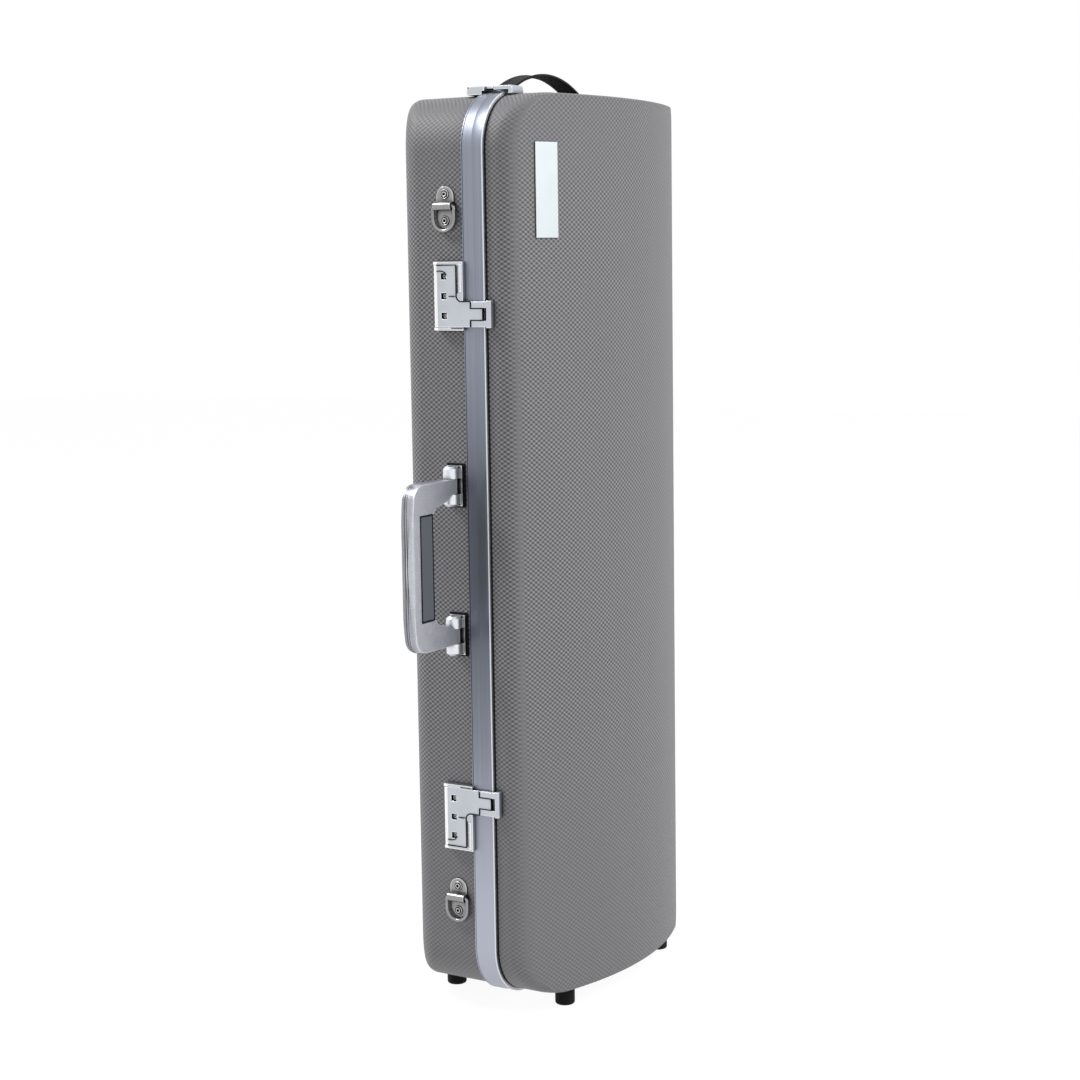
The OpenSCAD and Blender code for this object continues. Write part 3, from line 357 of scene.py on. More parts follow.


# %% [markdown]
# Metals
#
# The closing frame is an anodised extrusion, so every streak of its satin runs along it and only
# changes across it, which is along Y all the way round. The latches and the handle's brackets are
# castings with a fine even grain, and the rings and pins are polished or plain steel. Handling
# polishes their outer edges, which are also painted lighter as a highlight, and an Ambient
# Occlusion node finds them by looking into the metal. The band's colour is painted darker beside
# the handle and lighter at its foot, as a painted reflection, and lighter along the bead by the
# seal, as a painted highlight.


# %% Metal finishes
# Painted reflection: the band darkest at this height and lighter at its foot; the bead gets a
# painted highlight
BAND_PAINTED_REFLECTION_DARKEST = 0.42
BAND_PAINTED_REFLECTION_ENDS_BELOW = 0.16
BAND_PAINTED_REFLECTION_ENDS_ABOVE = 0.62
BAND_FOOT_PAINTED_LIGHT = (0.26, 0.08)
BEAD_PAINTED_HIGHLIGHT_Y = (band_high.y - 20.4 * MM, band_high.y - 20.9 * MM)


def worn_edge_and_painted_highlight(finish, width=1.5 * MM):
    """1 along outer edges, polished by handling and painted lighter as a highlight, and 0 on the
    faces.
    """
    inner = finish.node("ShaderNodeAmbientOcclusion", {"Distance": width}, output="AO", samples=8,
                        inside=True, only_local=True)
    return 1 - finish.ramp(inner, 0.5, 0.86)


def anodised_finish():
    finish = Finish("anodised_band", Metallic=1.0)
    x, y, z = finish.split(finish.where())
    fine = finish.noise(finish.vector(x * 2, y * 2600, z * 2), 1)
    broad = finish.noise(finish.vector(x * 1.5, y * 420, z * 1.5), 1, 1.0)
    tone = finish.mix(broad * 0.5 + fine * 0.5, (0.19, 0.21, 0.26), (0.34, 0.36, 0.42))
    # Painted reflection: darker round the middle of the length, lighter below and above it and at
    # the foot
    clear = finish.ramp(z, BAND_PAINTED_REFLECTION_DARKEST, BAND_PAINTED_REFLECTION_ENDS_BELOW)
    clear = clear + finish.ramp(z, BAND_PAINTED_REFLECTION_DARKEST, BAND_PAINTED_REFLECTION_ENDS_ABOVE)
    tone = finish.mix(clear, (0.115, 0.125, 0.155), tone)
    tone = finish.mix(finish.ramp(z, *BAND_FOOT_PAINTED_LIGHT), tone, (0.44, 0.46, 0.53))
    # Painted highlight along the bead by the seal
    tone = finish.mix(finish.ramp(y, *BEAD_PAINTED_HIGHLIGHT_Y), tone, (0.74, 0.76, 0.80))
    finish.set(Base_Color=tone, Roughness=0.34 + fine * 0.16)
    finish.bump(fine, 0.02 * MM)
    return finish.material


def casting_finish(name, dark, light, roughness, grain_size=1500, edge=1.5 * MM):
    finish = Finish(name, Metallic=1.0)
    where = finish.where()
    grain = finish.noise(where, grain_size, 3.0)
    cloud = finish.noise(where, 60)
    tone = finish.mix(grain * 0.3 + cloud * 0.7, dark, light)
    # Outer edges lighter: wear, and a painted highlight
    tone = finish.mix(worn_edge_and_painted_highlight(finish, edge), tone, [min(1, 1.6 * level) for level in light])
    # Painted shade: darker in corners, slots and where parts meet
    tone = finish.mix(painted_shade_mask(finish), [0.10 * level for level in dark], tone)
    finish.set(Base_Color=tone, Roughness=roughness + grain * 0.12)
    finish.bump(grain, 0.03 * MM)
    return finish.material


# %% [markdown]
# Plastics and cloth
#
# The handle is a moulding with metal flecks. Rubber and plain mouldings only differ in tone and
# grain. Plush has a fine nap over brushed patches, and the webbing's weave follows its UV map.

# %% Flecked handle
HANDLE_JOINT = band_high.y + 13.2 * MM


def flake_finish():
    """Silver plastic with a metal fleck under a clear skin, painted darker behind the middle joint
    as shade.
    """
    finish = Finish("flecked_silver", Metallic=0.75, Coat_Weight=0.25, Coat_Roughness=0.25)
    where = finish.where()
    y = finish.split(where)[1]
    fleck = finish.ramp(finish.noise(where, 1700, 4.0, 0.7), 0.42, 0.68)
    cloud = finish.noise(where, 90)
    speck = fleck * 0.65 + cloud * 0.35
    tone = finish.mix(speck, (0.41, 0.42, 0.47), (0.80, 0.81, 0.88))
    # Painted shade: the half behind the middle joint is painted darker
    painted_shade_tone = finish.mix(speck, (0.22, 0.225, 0.26), (0.46, 0.465, 0.52))
    tone = finish.mix(finish.ramp(y, HANDLE_JOINT, HANDLE_JOINT + 0.5 * MM), tone, painted_shade_tone)
    # Outer edges lighter: wear, and a painted highlight
    tone = finish.mix(worn_edge_and_painted_highlight(finish), tone, (0.95, 0.96, 1.0))
    # Painted shade: darker in corners and where parts meet
    tone = finish.mix(painted_shade_mask(finish), (0.05, 0.05, 0.06), tone)
    finish.set(Base_Color=tone, Roughness=0.34 + fleck * 0.12)
    finish.bump(fleck, 0.03 * MM)
    return finish.material


# %% Mouldings, plush and webbing
def matt_finish(name, dark, light, roughness, grain_size=900, depth=0.05 * MM, **more):
    """A plain matt moulding, such as rubber or a plastic tray."""
    finish = Finish(name, **more)
    where = finish.where()
    grain = finish.noise(where, grain_size, 3.0)
    cloud = finish.noise(where, 35)
    tone = finish.mix(grain * 0.4 + cloud * 0.6, dark, light)
    finish.set(Base_Color=tone, Roughness=roughness + grain * 0.1)
    finish.bump(grain, depth)
    return finish.material


def plush_finish(name, dark, light):
    """Short pile: soft patches where it has been brushed, with a fine nap over them."""
    finish = Finish(name, Sheen_Weight=0.35, Sheen_Roughness=0.45)
    where = finish.where()
    x, y, z = finish.split(where)
    nap = finish.noise(where, 1400, 3.0, 0.65)
    brushed = finish.noise(finish.vector(x, y, z * 0.4), 22, 3.0)
    tone = finish.mix(nap * 0.5 + brushed * 0.5, dark, light)
    finish.set(Base_Color=tone, Roughness=0.9)
    finish.bump(nap + brushed * 0.5, 0.5 * MM)
    return finish.material


def webbing_finish():
    """Woven webbing: its UV map is in metres, along the strap and across it."""
    finish = Finish("webbing", Specular_IOR_Level=0.15)
    where = finish.node("ShaderNodeUVMap", uv_map="weave")
    along, across = finish.split(where)[:2]
    ribs = (across * (2 * math.pi / (1.5 * MM))).math("SINE").math("ABSOLUTE")
    picks = (along * (2 * math.pi / (2.4 * MM)) + ribs * 1.2).math("SINE") * 0.5 + 0.5
    weave = ribs * 0.6 + picks * 0.4
    tone = finish.mix(weave, (0.004, 0.004, 0.0045), (0.020, 0.020, 0.022))
    finish.set(Base_Color=tone, Roughness=0.62)
    finish.bump(weave, 0.35 * MM)
    return finish.material


# %% Every finish by its slot
FINISHES = {
    "shell_plastic": shell_finish(),
    "frame_aluminium": anodised_finish(),
    "seal_rubber": matt_finish("seal", (0.005, 0.005, 0.006), (0.011, 0.011, 0.012), 0.6,
                               Specular_IOR_Level=0.12),
    "lining_plush": plush_finish("lining", (0.022, 0.032, 0.060), (0.050, 0.068, 0.110)),
    "foam_plush": plush_finish("foam_cover", (0.030, 0.042, 0.075), (0.065, 0.085, 0.130)),
    "webbing": webbing_finish(),
    "tray_plastic": matt_finish("tray", (0.075, 0.10, 0.135), (0.10, 0.13, 0.17), 0.5),
    "foot_rubber": matt_finish("foot", (0.006, 0.006, 0.007), (0.013, 0.013, 0.014), 0.55,
                               Specular_IOR_Level=0.12),
    "latch_metal": casting_finish("latch_casting", (0.45, 0.48, 0.52), (0.63, 0.66, 0.71), 0.30),
    "bracket_metal": casting_finish("bracket_casting", (0.70, 0.72, 0.76), (0.92, 0.94, 0.98),
                                    0.32),
    "handle_plastic": flake_finish(),
    "grip_rubber": matt_finish("grip", (0.085, 0.098, 0.118), (0.105, 0.118, 0.140), 0.55),
    "ring_steel": casting_finish("ring_steel", (0.24, 0.24, 0.245), (0.38, 0.38, 0.385), 0.22,
                                 2200),
    "hinge_steel": casting_finish("hinge_steel", (0.40, 0.41, 0.42), (0.54, 0.55, 0.56), 0.30),
    "pin_steel": casting_finish("pin_steel", (0.22, 0.22, 0.23), (0.36, 0.36, 0.37), 0.32),
    "badge_metal": casting_finish("badge_plate", (0.56, 0.61, 0.63), (0.63, 0.68, 0.70), 0.5, 900,
                                  0.25 * MM),
    "bow_plastic": matt_finish("bow_holder", (0.016, 0.016, 0.020), (0.028, 0.028, 0.032), 0.4),
}
print("finishes:", len(FINISHES))

# %% [markdown]
# Which finish goes where
#
# The record names the slot of every part. Giving each part its finish first means that nothing is
# left plain, also where a finer piece takes a part's place later.

# %% Finish every part
SLOT_OF = {part["node"]: part["material_slot"] for part in frame["record"]["subparts"]}
BODY_OF = {node: body for body, nodes in frame["record"]["behaviour"]["bodies"].items()
           for node in nodes}
for node, slot in SLOT_OF.items():
    mesh = frame["nodes"][node].data
    mesh.materials.clear()
    mesh.materials.append(FINISHES[slot])
print("parts finished:", len(SLOT_OF))


# %% Turn a bmesh into a piece of the case
def piece(name, bm, body, slot, sharp_angle=35, *, weighted=True):
    """Makes a bmesh into an object that rides on a body, smooth but for its sharp edges."""
    bmesh.ops.recalc_face_normals(bm, faces=bm.faces)
    mesh = bpy.data.meshes.new(name)
    bm.to_mesh(mesh)
    bm.free()
    mesh.polygons.foreach_set("use_smooth", [True] * len(mesh.polygons))
    mesh.set_sharp_from_angle(angle=math.radians(sharp_angle))
    mesh.materials.append(FINISHES[slot])
    made = bpy.data.objects.new(name, mesh)
    scene.collection.objects.link(made)
    if weighted:
        even = made.modifiers.new("even shading", "WEIGHTED_NORMAL")
        even.keep_sharp = True
    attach(made, body)
    print(name, "faces:", len(mesh.polygons))
    return made


def stand_in(name, bm, node, sharp_angle=35):
    """A piece that takes a part's place, with the part's own body and slot."""
    made = piece(name, bm, BODY_OF[node], SLOT_OF[node], sharp_angle)
    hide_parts(node)
    return made


# %% [markdown]
# The two arched shells
#
# Each shell is a tray with a rounded outline and a face that arches across the width. It starts as
# one flat face with its corners rounded off. The face is pulled up into walls, and small insets
# that climb a quarter circle make the rounded shoulder. Only then is it cut into strips across the
# width, and every point on the shoulder and the face drops by the arch's sag, so the shoulder
# follows the arch all the way round.


# %% Rounded outline
def rounded_outline(bm, inset, y):
    """One face in the XZ plane with the case's outline, drawn in by the inset."""
    half_x = HALF_WIDTH - inset
    half_z = HALF_LENGTH - inset
    corners = ((-1, -1), (1, -1), (1, 1), (-1, 1))
    verts = [bm.verts.new((MIDDLE.x + sx * half_x, y, MIDDLE.z + sz * half_z))
             for sx, sz in corners]
    bm.faces.new(verts)
    for side, radius, steps in ((-1, NEAR_RADIUS - inset, 18), (1, FAR_RADIUS - inset, 12)):
        near = [v for v in bm.verts if abs(v.co.x - MIDDLE.x - side * half_x) < MM
                and abs(abs(v.co.z - MIDDLE.z) - half_z) < MM]
        bmesh.ops.bevel(bm, geom=near, offset=radius, offset_type="OFFSET", segments=steps,
                        profile=0.5, affect="VERTICES", material=-1)
    return max(bm.faces, key=lambda face: face.calc_area())


# %% Pull, inset and rise
def shift(bm, made, move):
    """Moves the points in an operator's result."""
    verts = [part for part in made if isinstance(part, bmesh.types.BMVert)]
    bmesh.ops.translate(bm, verts=verts, vec=move)


def pull(bm, face, distance):
    """Extrudes a face straight along Y and returns the new end face."""
    made = bmesh.ops.extrude_face_region(bm, geom=[face])["geom"]
    shift(bm, made, (0, distance, 0))
    end = next(part for part in made if isinstance(part, bmesh.types.BMFace))
    if face.is_valid:
        bmesh.ops.delete(bm, geom=[face], context="FACES_ONLY")
    return end


def inset_and_rise(bm, face, inset, rise):
    """Insets a flat end face evenly and moves it along Y."""
    bmesh.ops.inset_region(bm, faces=[face], thickness=inset, use_even_offset=True)
    bmesh.ops.translate(bm, verts=face.verts[:], vec=(0, rise, 0))


# %% Arched cover
SHOULDER_STEPS = 9
FACE_STRIPS = 28


def arched_cover(name, node, inset, wall, shoulder, end_radius):
    """A shell or lining: walls, a rounded shoulder and an arched face, open on the other side."""
    low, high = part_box(node)
    away = 1 if node.startswith("base") else -1
    edge = low[1] if away > 0 else high[1]
    crown = high[1] if away > 0 else low[1]
    bm = bmesh.new()
    face = rounded_outline(bm, inset, edge)
    shoulder_start = crown - away * shoulder
    face = pull(bm, face, shoulder_start - edge)
    for step in range(SHOULDER_STEPS):
        a0, a1 = (math.pi / 2 * (step + k) / SHOULDER_STEPS for k in (0, 1))
        inset_and_rise(bm, face, shoulder * (math.cos(a0) - math.cos(a1)),
                       away * shoulder * (math.sin(a1) - math.sin(a0)))
    for strip in range(1, FACE_STRIPS):
        x = MIDDLE.x + HALF_WIDTH * (2 * strip / FACE_STRIPS - 1)
        everything = bm.verts[:] + bm.edges[:] + bm.faces[:]
        bmesh.ops.bisect_plane(bm, geom=everything, plane_co=(x, 0, 0), plane_no=(1, 0, 0))
    for vert in bm.verts:
        climb = 1 - abs(crown - vert.co.y) / shoulder
        if climb > -1e-4:
            drawn_in = 1 - math.sqrt(1 - min(max(climb, 0), 1) ** 2)
            sharpen_end(vert, inset + shoulder * drawn_in, inset + end_radius * drawn_in)
            vert.co.y -= away * sag(vert.co.x)
    bmesh.ops.remove_doubles(bm, verts=bm.verts, dist=0.001 * MM)
    bmesh.ops.recalc_face_normals(bm, faces=bm.faces)
    bmesh.ops.solidify(bm, geom=bm.faces[:], thickness=wall)
    stand_in(name, bm, node)


def sharpen_end(vert, inset, end_inset):
    """Moves a point of the shoulder out towards the case's end, where the rounding is smaller."""
    radius = NEAR_RADIUS if vert.co.x < MIDDLE.x else FAR_RADIUS
    centre = HALF_LENGTH - radius
    height = vert.co.z - MIDDLE.z
    past = abs(height) - centre
    if past > 0:
        stretched = centre + past * (radius - end_inset) / (radius - inset)
        vert.co.z = MIDDLE.z + math.copysign(stretched, height)


# %% Shells and linings
LINING_GAP = 0.4 * MM
LINING = 2.5 * MM
LINING_INSET = BAND_PROUD + WALL + LINING_GAP
SHARPEST = 0.05 * MM
for body, end_radius in (("base", BASE_END_RADIUS), ("lid", LID_END_RADIUS)):
    arched_cover(body + "_moulding", body + "_shell", BAND_PROUD, WALL, SHOULDER_RADIUS, end_radius)
    arched_cover(body + "_plush", body + "_lining", LINING_INSET, LINING,
                 SHOULDER_RADIUS - WALL - LINING_GAP, max(end_radius - WALL - LINING_GAP, SHARPEST))

# %% [markdown]
# The closing frame
#
# The frame is an aluminium extrusion: one long bar with the same section everywhere, bent round the
# case. So it is made as the factory does it. The section is drawn once on the near side, pushed
# along each straight length, and spun about the middle of each corner. The band has a fine groove
# beside its back edge, a flat strip, a faint rib, a shallow hollow, and a bead beside the seal.


# %% Bend a section round the case
ALONG_X, ALONG_Y = (1, 0, 0), (0, 1, 0)


def new_ring(made):
    """The edges of an extruded or spun section's far end."""
    verts = {part for part in made if isinstance(part, bmesh.types.BMVert)}
    return [part for part in made if isinstance(part, bmesh.types.BMEdge)
            and part.verts[0] in verts and part.verts[1] in verts]


def push(bm, ring, move):
    made = bmesh.ops.extrude_edge_only(bm, edges=ring)["geom"]
    shift(bm, made, move)
    return new_ring(made)


def bend(bm, ring, centre, axis, degrees, steps):
    verts = list({vert for edge in ring for vert in edge.verts})
    made = bmesh.ops.spin(bm, geom=verts + ring, cent=centre, axis=axis,
                          angle=math.radians(degrees), steps=steps)
    return new_ring(made["geom_last"])


def bent_frame(name, node, section):
    """Sweeps a closed section, given as inset and Y in millimetres, once round the case."""
    bm = bmesh.new()
    verts = [bm.verts.new(at(inset - HALF_WIDTH / MM, y, MIDDLE.z / MM)) for inset, y in section]
    ring = [bm.edges.new(pair) for pair in zip(verts, verts[1:] + verts[:1])]
    near_x = MIDDLE.x - HALF_WIDTH + NEAR_RADIUS
    far_x = MIDDLE.x + HALF_WIDTH - FAR_RADIUS
    near_rise = HALF_LENGTH - NEAR_RADIUS
    far_rise = HALF_LENGTH - FAR_RADIUS
    ring = push(bm, ring, (0, 0, near_rise))
    ring = bend(bm, ring, (near_x, 0, MIDDLE.z + near_rise), ALONG_Y, 90, 24)
    ring = push(bm, ring, (far_x - near_x, 0, 0))
    ring = bend(bm, ring, (far_x, 0, MIDDLE.z + far_rise), ALONG_Y, 90, 16)
    ring = push(bm, ring, (0, 0, -2 * far_rise))
    ring = bend(bm, ring, (far_x, 0, MIDDLE.z - far_rise), ALONG_Y, 90, 16)
    ring = push(bm, ring, (near_x - far_x, 0, 0))
    ring = bend(bm, ring, (near_x, 0, MIDDLE.z - near_rise), ALONG_Y, 90, 24)
    push(bm, ring, (0, 0, near_rise))
    bmesh.ops.remove_doubles(bm, verts=bm.verts, dist=0.01 * MM)
    stand_in(name, bm, node, sharp_angle=40)


# %% Band and seal
BAND = [
    (3, 0), (0.6, 0), (0.15, -0.15), (0, -0.5), (0, -0.95), (0.55, -1.1), (0.55, -1.5),
    (0.1, -1.7), (0.1, -9.9), (0, -10.2), (0, -10.8), (0.15, -11.2), (0.32, -13), (0.4, -15.5),
    (0.38, -18), (0.32, -19.3), (0.06, -19.6), (0, -20), (0, -21.1), (0.2, -21.6), (0.7, -21.8),
    (9.2, -21.8), (9.4, -21.6), (9.4, -8.2), (9.2, -8), (7.6, -8), (7.4, -8.2), (7.4, -18.5),
    (3, -18.5),
]
SEAL = [
    (2.6, -21.9), (9.4, -21.9), (9.4, -23.3), (2.9, -23.3), (2.65, -23.0), (2.6, -22.3),
]
bent_frame("closing_band", "base_frame", BAND)
bent_frame("rubber_seal", "lid_seal", SEAL)

# %% [markdown]
# Cast and pressed fittings
#
# The latches, brackets, hinges and plates are already right in the frame of solid parts, but their
# edges are knife sharp there. A real casting has small rounded edges that catch the light. Each one
# is copied, its doubled points are merged, its flat triangles are joined into whole faces, and the
# edges that are left sharp are bevelled.


# %% Ease the edges of a fitting
def merged_copy(node):
    bm = bmesh.new()
    bm.from_mesh(frame["nodes"][node].data)
    bmesh.ops.remove_doubles(bm, verts=bm.verts, dist=0.004 * MM)
    return bm


def eased(node, width, angle=30, segments=2, *, name=None):
    """A copy of a solid part with every sharp edge rounded by a width in millimetres."""
    bm = merged_copy(node)
    bmesh.ops.dissolve_limit(bm, angle_limit=math.radians(0.6), verts=bm.verts, edges=bm.edges)
    sharp = [edge for edge in bm.edges
             if edge.is_manifold and edge.calc_face_angle() > math.radians(angle)]
    bmesh.ops.bevel(bm, geom=sharp, offset=width * MM, offset_type="OFFSET", segments=segments,
                    profile=0.5, affect="EDGES", material=-1, clamp_overlap=True)
    return stand_in(name or node + "_eased", bm, node)


EASED = {
    "upper_latch_housing": 0.4, "lower_latch_housing": 0.4, "top_latch_housing": 0.9,
    "upper_latch_lever": 0.35, "lower_latch_lever": 0.35, "top_latch_lever": 0.35,
    "upper_catch": 0.45, "lower_catch": 0.45, "top_catch": 0.8,
    "upper_handle_bracket": 0.5, "lower_handle_bracket": 0.5, "bracket_pads": 0.25,
    "upper_ring_plate": 0.35, "lower_ring_plate": 0.35,
    "base_hinge_leaves": 0.3, "lid_hinge_leaves": 0.3, "strap_plates": 0.35,
    "lid_frame": 0.3, "near_tray": 0.6, "far_tray": 0.6, "badge_plate": 0.3,
    "near_bow_post": 0.7, "far_bow_post": 0.7, "near_bow_button": 0.9, "far_bow_button": 0.9,
}
for node, width in EASED.items():
    eased(node, width)

# %% [markdown]
# Turned pieces
#
# Screws, rivets and feet are round, so each one is the outline of half of it, spun a full turn. The
# outline is a list of radius and height, and it stands on a place with a direction, so one function
# serves a rivet in the side wall and a foot under the base.


# %% Spin an outline
def turned(bm, outline, foot, axis, steps=28):
    """Spins an outline of (radius, height) pairs in millimetres about an axis at a place."""
    axis = Vector(axis)
    side = axis.orthogonal().normalized()
    verts = [bm.verts.new(foot + axis * (height * MM) + side * (radius * MM))
             for radius, height in outline]
    edges = [bm.edges.new(pair) for pair in zip(verts, verts[1:])]
    bmesh.ops.spin(bm, geom=verts + edges, cent=foot, axis=axis, angle=2 * math.pi, steps=steps,
                   use_merge=True)


def all_turned(name, node, outline, places, axis, steps=28):
    bm = bmesh.new()
    for place in places:
        turned(bm, outline, place, axis, steps)
    bmesh.ops.remove_doubles(bm, verts=bm.verts, dist=0.01 * MM)
    stand_in(name, bm, node)


# %% Screws, rivets and feet
TO_NEAR, TO_FAR, UP = (-1, 0, 0), (1, 0, 0), (0, 0, 1)
SHELL_X = 138
SHELL_TOP = 809.5
CASE_Z = 413.5
FITTINGS_Z = 410.2
RING_Z = 321.7
RING_HEIGHT = 35.7
RING_Y = 17.9
RING_TOPS = (FITTINGS_Z + RING_Z, FITTINGS_Z - RING_Z + RING_HEIGHT)
RING_SCREW_OUT = 1.4
RING_SCREW_DROPS = (6.9, 29.3)
ring_screws = [at(-SHELL_X - RING_SCREW_OUT, RING_Y, top - drop)
               for top in RING_TOPS for drop in RING_SCREW_DROPS]
all_turned("ring_screw_set", "ring_screws", [
    (0, -5.4), (1.7, -5.4), (1.7, 0), (4.0, 0), (4.2, 0.3), (4.1, 0.95), (3.7, 1.3), (3.4, 1.15),
    (3.1, 0.2), (2.7, 0.15), (2.5, 1.1), (2.2, 1.6), (1.6, 1.75), (1.35, 1.6), (1.25, -0.8),
    (0, -0.9),
], ring_screws, TO_NEAR)

PAN_SCREW = [
    (0, -7), (1.6, -7), (1.6, 0), (2.25, 0), (2.4, 0.2), (2.3, 0.65), (1.9, 0.98), (1.3, 1.1),
    (1.05, 1.08), (1.0, 0.6), (0, 0.55),
]
LATCH_Z = 228.5
WINDOW_STEP = 16.8
WINDOW_Y = 17.1
TOP_LATCH_X = -90
TOP_WINDOW_STEP = 8.1
TOP_WINDOW_Y = 8.5
SCREW_SEAT = 4.4
bm = bmesh.new()
for middle in (FITTINGS_Z + LATCH_Z, FITTINGS_Z - LATCH_Z):
    for step in (-1, 0, 1):
        seat = at(-SHELL_X - SCREW_SEAT, WINDOW_Y, middle + step * WINDOW_STEP)
        turned(bm, PAN_SCREW, seat, TO_NEAR)
for step in (-TOP_WINDOW_STEP, TOP_WINDOW_STEP):
    turned(bm, PAN_SCREW, at(TOP_LATCH_X + step, TOP_WINDOW_Y, SHELL_TOP + SCREW_SEAT), UP)
bmesh.ops.remove_doubles(bm, verts=bm.verts, dist=0.01 * MM)
stand_in("latch_screw_set", bm, "latch_screws")

HINGE_STEP = 290
RIVET_STEP = 21
DOMED_RIVET = [
    (0, -5), (1.5, -5), (1.5, 0), (2.45, 0), (2.6, 0.2), (2.3, 0.6), (1.5, 0.85), (0, 0.9),
]
for body, out in (("base", 4.6), ("lid", 1.6)):
    node = body + "_hinge_rivets"
    centre = (Vector(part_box(node)[0]) + Vector(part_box(node)[1])) / 2
    y = (centre.y - band_high.y) / MM
    places = [at(SHELL_X + out, y, CASE_Z + hinge + step)
              for hinge in (-HINGE_STEP, 0, HINGE_STEP) for step in (-RIVET_STEP, RIVET_STEP)]
    all_turned(body + "_rivet_set", node, DOMED_RIVET, places, TO_FAR)

FOOT = [
    (2.1, 17.5), (9, 17.5), (9, 3.4), (8.85, 3.1), (8.85, 2.7), (9, 2.4), (8.9, 1.5), (8.5, 0.7),
    (7.8, 0.2), (6.9, 0), (4.9, 0), (4.5, 0.35), (4.5, 6), (2.1, 6), (2.1, 17.5),
]
FOOT_SCREW = [
    (0, 21.5), (2, 21.5), (2, 6), (3.7, 6), (4, 5.6), (3.8, 4.4), (3, 3.7), (1.8, 3.6),
    (1.5, 4.6), (0, 4.7),
]
FEET_X = (-72, 107)
FEET_Y = {"base": 66, "lid": -51}
for body, y in FEET_Y.items():
    places = [at(x, y, 0) for x in FEET_X]
    all_turned(body + "_rubber_feet", body + "_feet", FOOT, places, UP, 40)
    all_turned(body + "_foot_screw_set", body + "_foot_screws", FOOT_SCREW, places, UP)

# %% [markdown]
# Strap rings
#
# A ring is one length of round wire bent into a D. A circle is drawn at the top bar, pushed along
# the straight lengths and spun at the two tight corners and round the bow, just as wire is bent.


# %% Bend the two rings
RING_BOW = 10.65
RING_CORNER = 2.6
RING_DROP = 10.2
WIRE_RADIUS = 1.6 * MM
AXLE_OUT = 3.9
AXLE_DROP = 17
for name, top in zip(("upper", "lower"), RING_TOPS):
    bm = bmesh.new()
    axle = at(-SHELL_X - AXLE_OUT, RING_Y, top - AXLE_DROP)
    standing = Matrix.Translation(axle) @ Matrix.Rotation(math.radians(90), 4, "X")
    bmesh.ops.create_circle(bm, segments=20, radius=WIRE_RADIUS, matrix=standing)
    ring = bm.edges[:]
    bar = (RING_BOW - RING_CORNER) * MM
    leg = (RING_DROP - RING_CORNER) * MM
    corner = RING_CORNER * MM
    ring = push(bm, ring, (0, bar, 0))
    ring = bend(bm, ring, axle + Vector((0, bar, -corner)), ALONG_X, -90, 6)
    ring = push(bm, ring, (0, 0, -leg))
    ring = bend(bm, ring, axle - Vector((0, 0, RING_DROP * MM)), ALONG_X, -180, 28)
    ring = push(bm, ring, (0, 0, leg))
    ring = bend(bm, ring, axle + Vector((0, -bar, -corner)), ALONG_X, -90, 6)
    push(bm, ring, (0, bar, 0))
    bmesh.ops.remove_doubles(bm, verts=bm.verts, dist=0.01 * MM)
    stand_in(name + "_wire_ring", bm, name + "_ring")

# %% [markdown]
# Handle
#
# The handle is a flecked silver moulding in the shape of a C, with a softer slate insert where the
# hand goes. Its solid has the right outline, so a copy gets generous rounded edges. The insert is
# drawn in a little at its outer side and both ends, which leaves a seam round it.

# %% Handle and grip
eased("carry_handle", 0.9, 20, 3, name="flecked_handle")
grip = eased("handle_grip", 0.8, 35, 3, name="slate_grip")
grip_low, grip_high = (Vector(corner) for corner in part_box("handle_grip"))
grip_middle = (grip_low + grip_high) / 2
GRIP_SEAM = 0.6 * MM
shrink = 1 - 2 * GRIP_SEAM / (grip_high.z - grip_low.z)
for vert in grip.data.vertices:
    vert.co.z = grip_middle.z + (vert.co.z - grip_middle.z) * shrink
    vert.co.x = max(vert.co.x, grip_low.x + GRIP_SEAM)
print("grip seam", GRIP_SEAM)

# %% [markdown]
# Dark joints
#
# Where two mouldings or castings meet there is a narrow gap that stays black. Each gap is a thin
# dark line that lies in the edge of a flat face, so the face's own outline gives its path: the
# edges round the faces that look one way are walked from end to end, and a bevelled curve follows
# them. The short marks on the latches have no such edge, and their places are given.


# %% Joint lines
def loose_ends(edge, left):
    """The ends of an edge that no other edge in the rest shares."""
    return [vert for vert in edge.verts if sum(other in left for other in vert.link_edges) == 1]


def walk(edges):
    """Sorts edges into chains of points, from one loose end to the other."""
    left = dict.fromkeys(edges)
    chains = []
    while left:
        edge = next((edge for edge in left if loose_ends(edge, left)), None) or next(iter(left))
        vert = (loose_ends(edge, left) or edge.verts)[0]
        chain = [vert.co.copy()]
        while edge:
            del left[edge]
            vert = edge.other_vert(vert)
            chain.append(vert.co.copy())
            edge = next((other for other in vert.link_edges if other in left), None)
        chains.append(chain)
    return chains


def face_outline(node, facing, keep, shortest=30 * MM):
    """The outline of a part's flat faces that look one way, where keep(place) allows it."""
    bm = merged_copy(node)
    bmesh.ops.dissolve_limit(bm, angle_limit=math.radians(0.6), verts=bm.verts, edges=bm.edges)
    ahead = {face for face in bm.faces if face.normal.dot(Vector(facing)) > 0.99}
    rim = [edge for edge in bm.edges if sum(face in ahead for face in edge.link_faces) == 1
           and keep((edge.verts[0].co + edge.verts[1].co) / 2)]
    rim.sort(key=lambda edge: tuple(round(value, 6) for value in edge.verts[0].co))
    chains = walk(rim)
    bm.free()
    return [chain for chain in chains
            if sum((b - a).length for a, b in zip(chain, chain[1:])) > shortest]


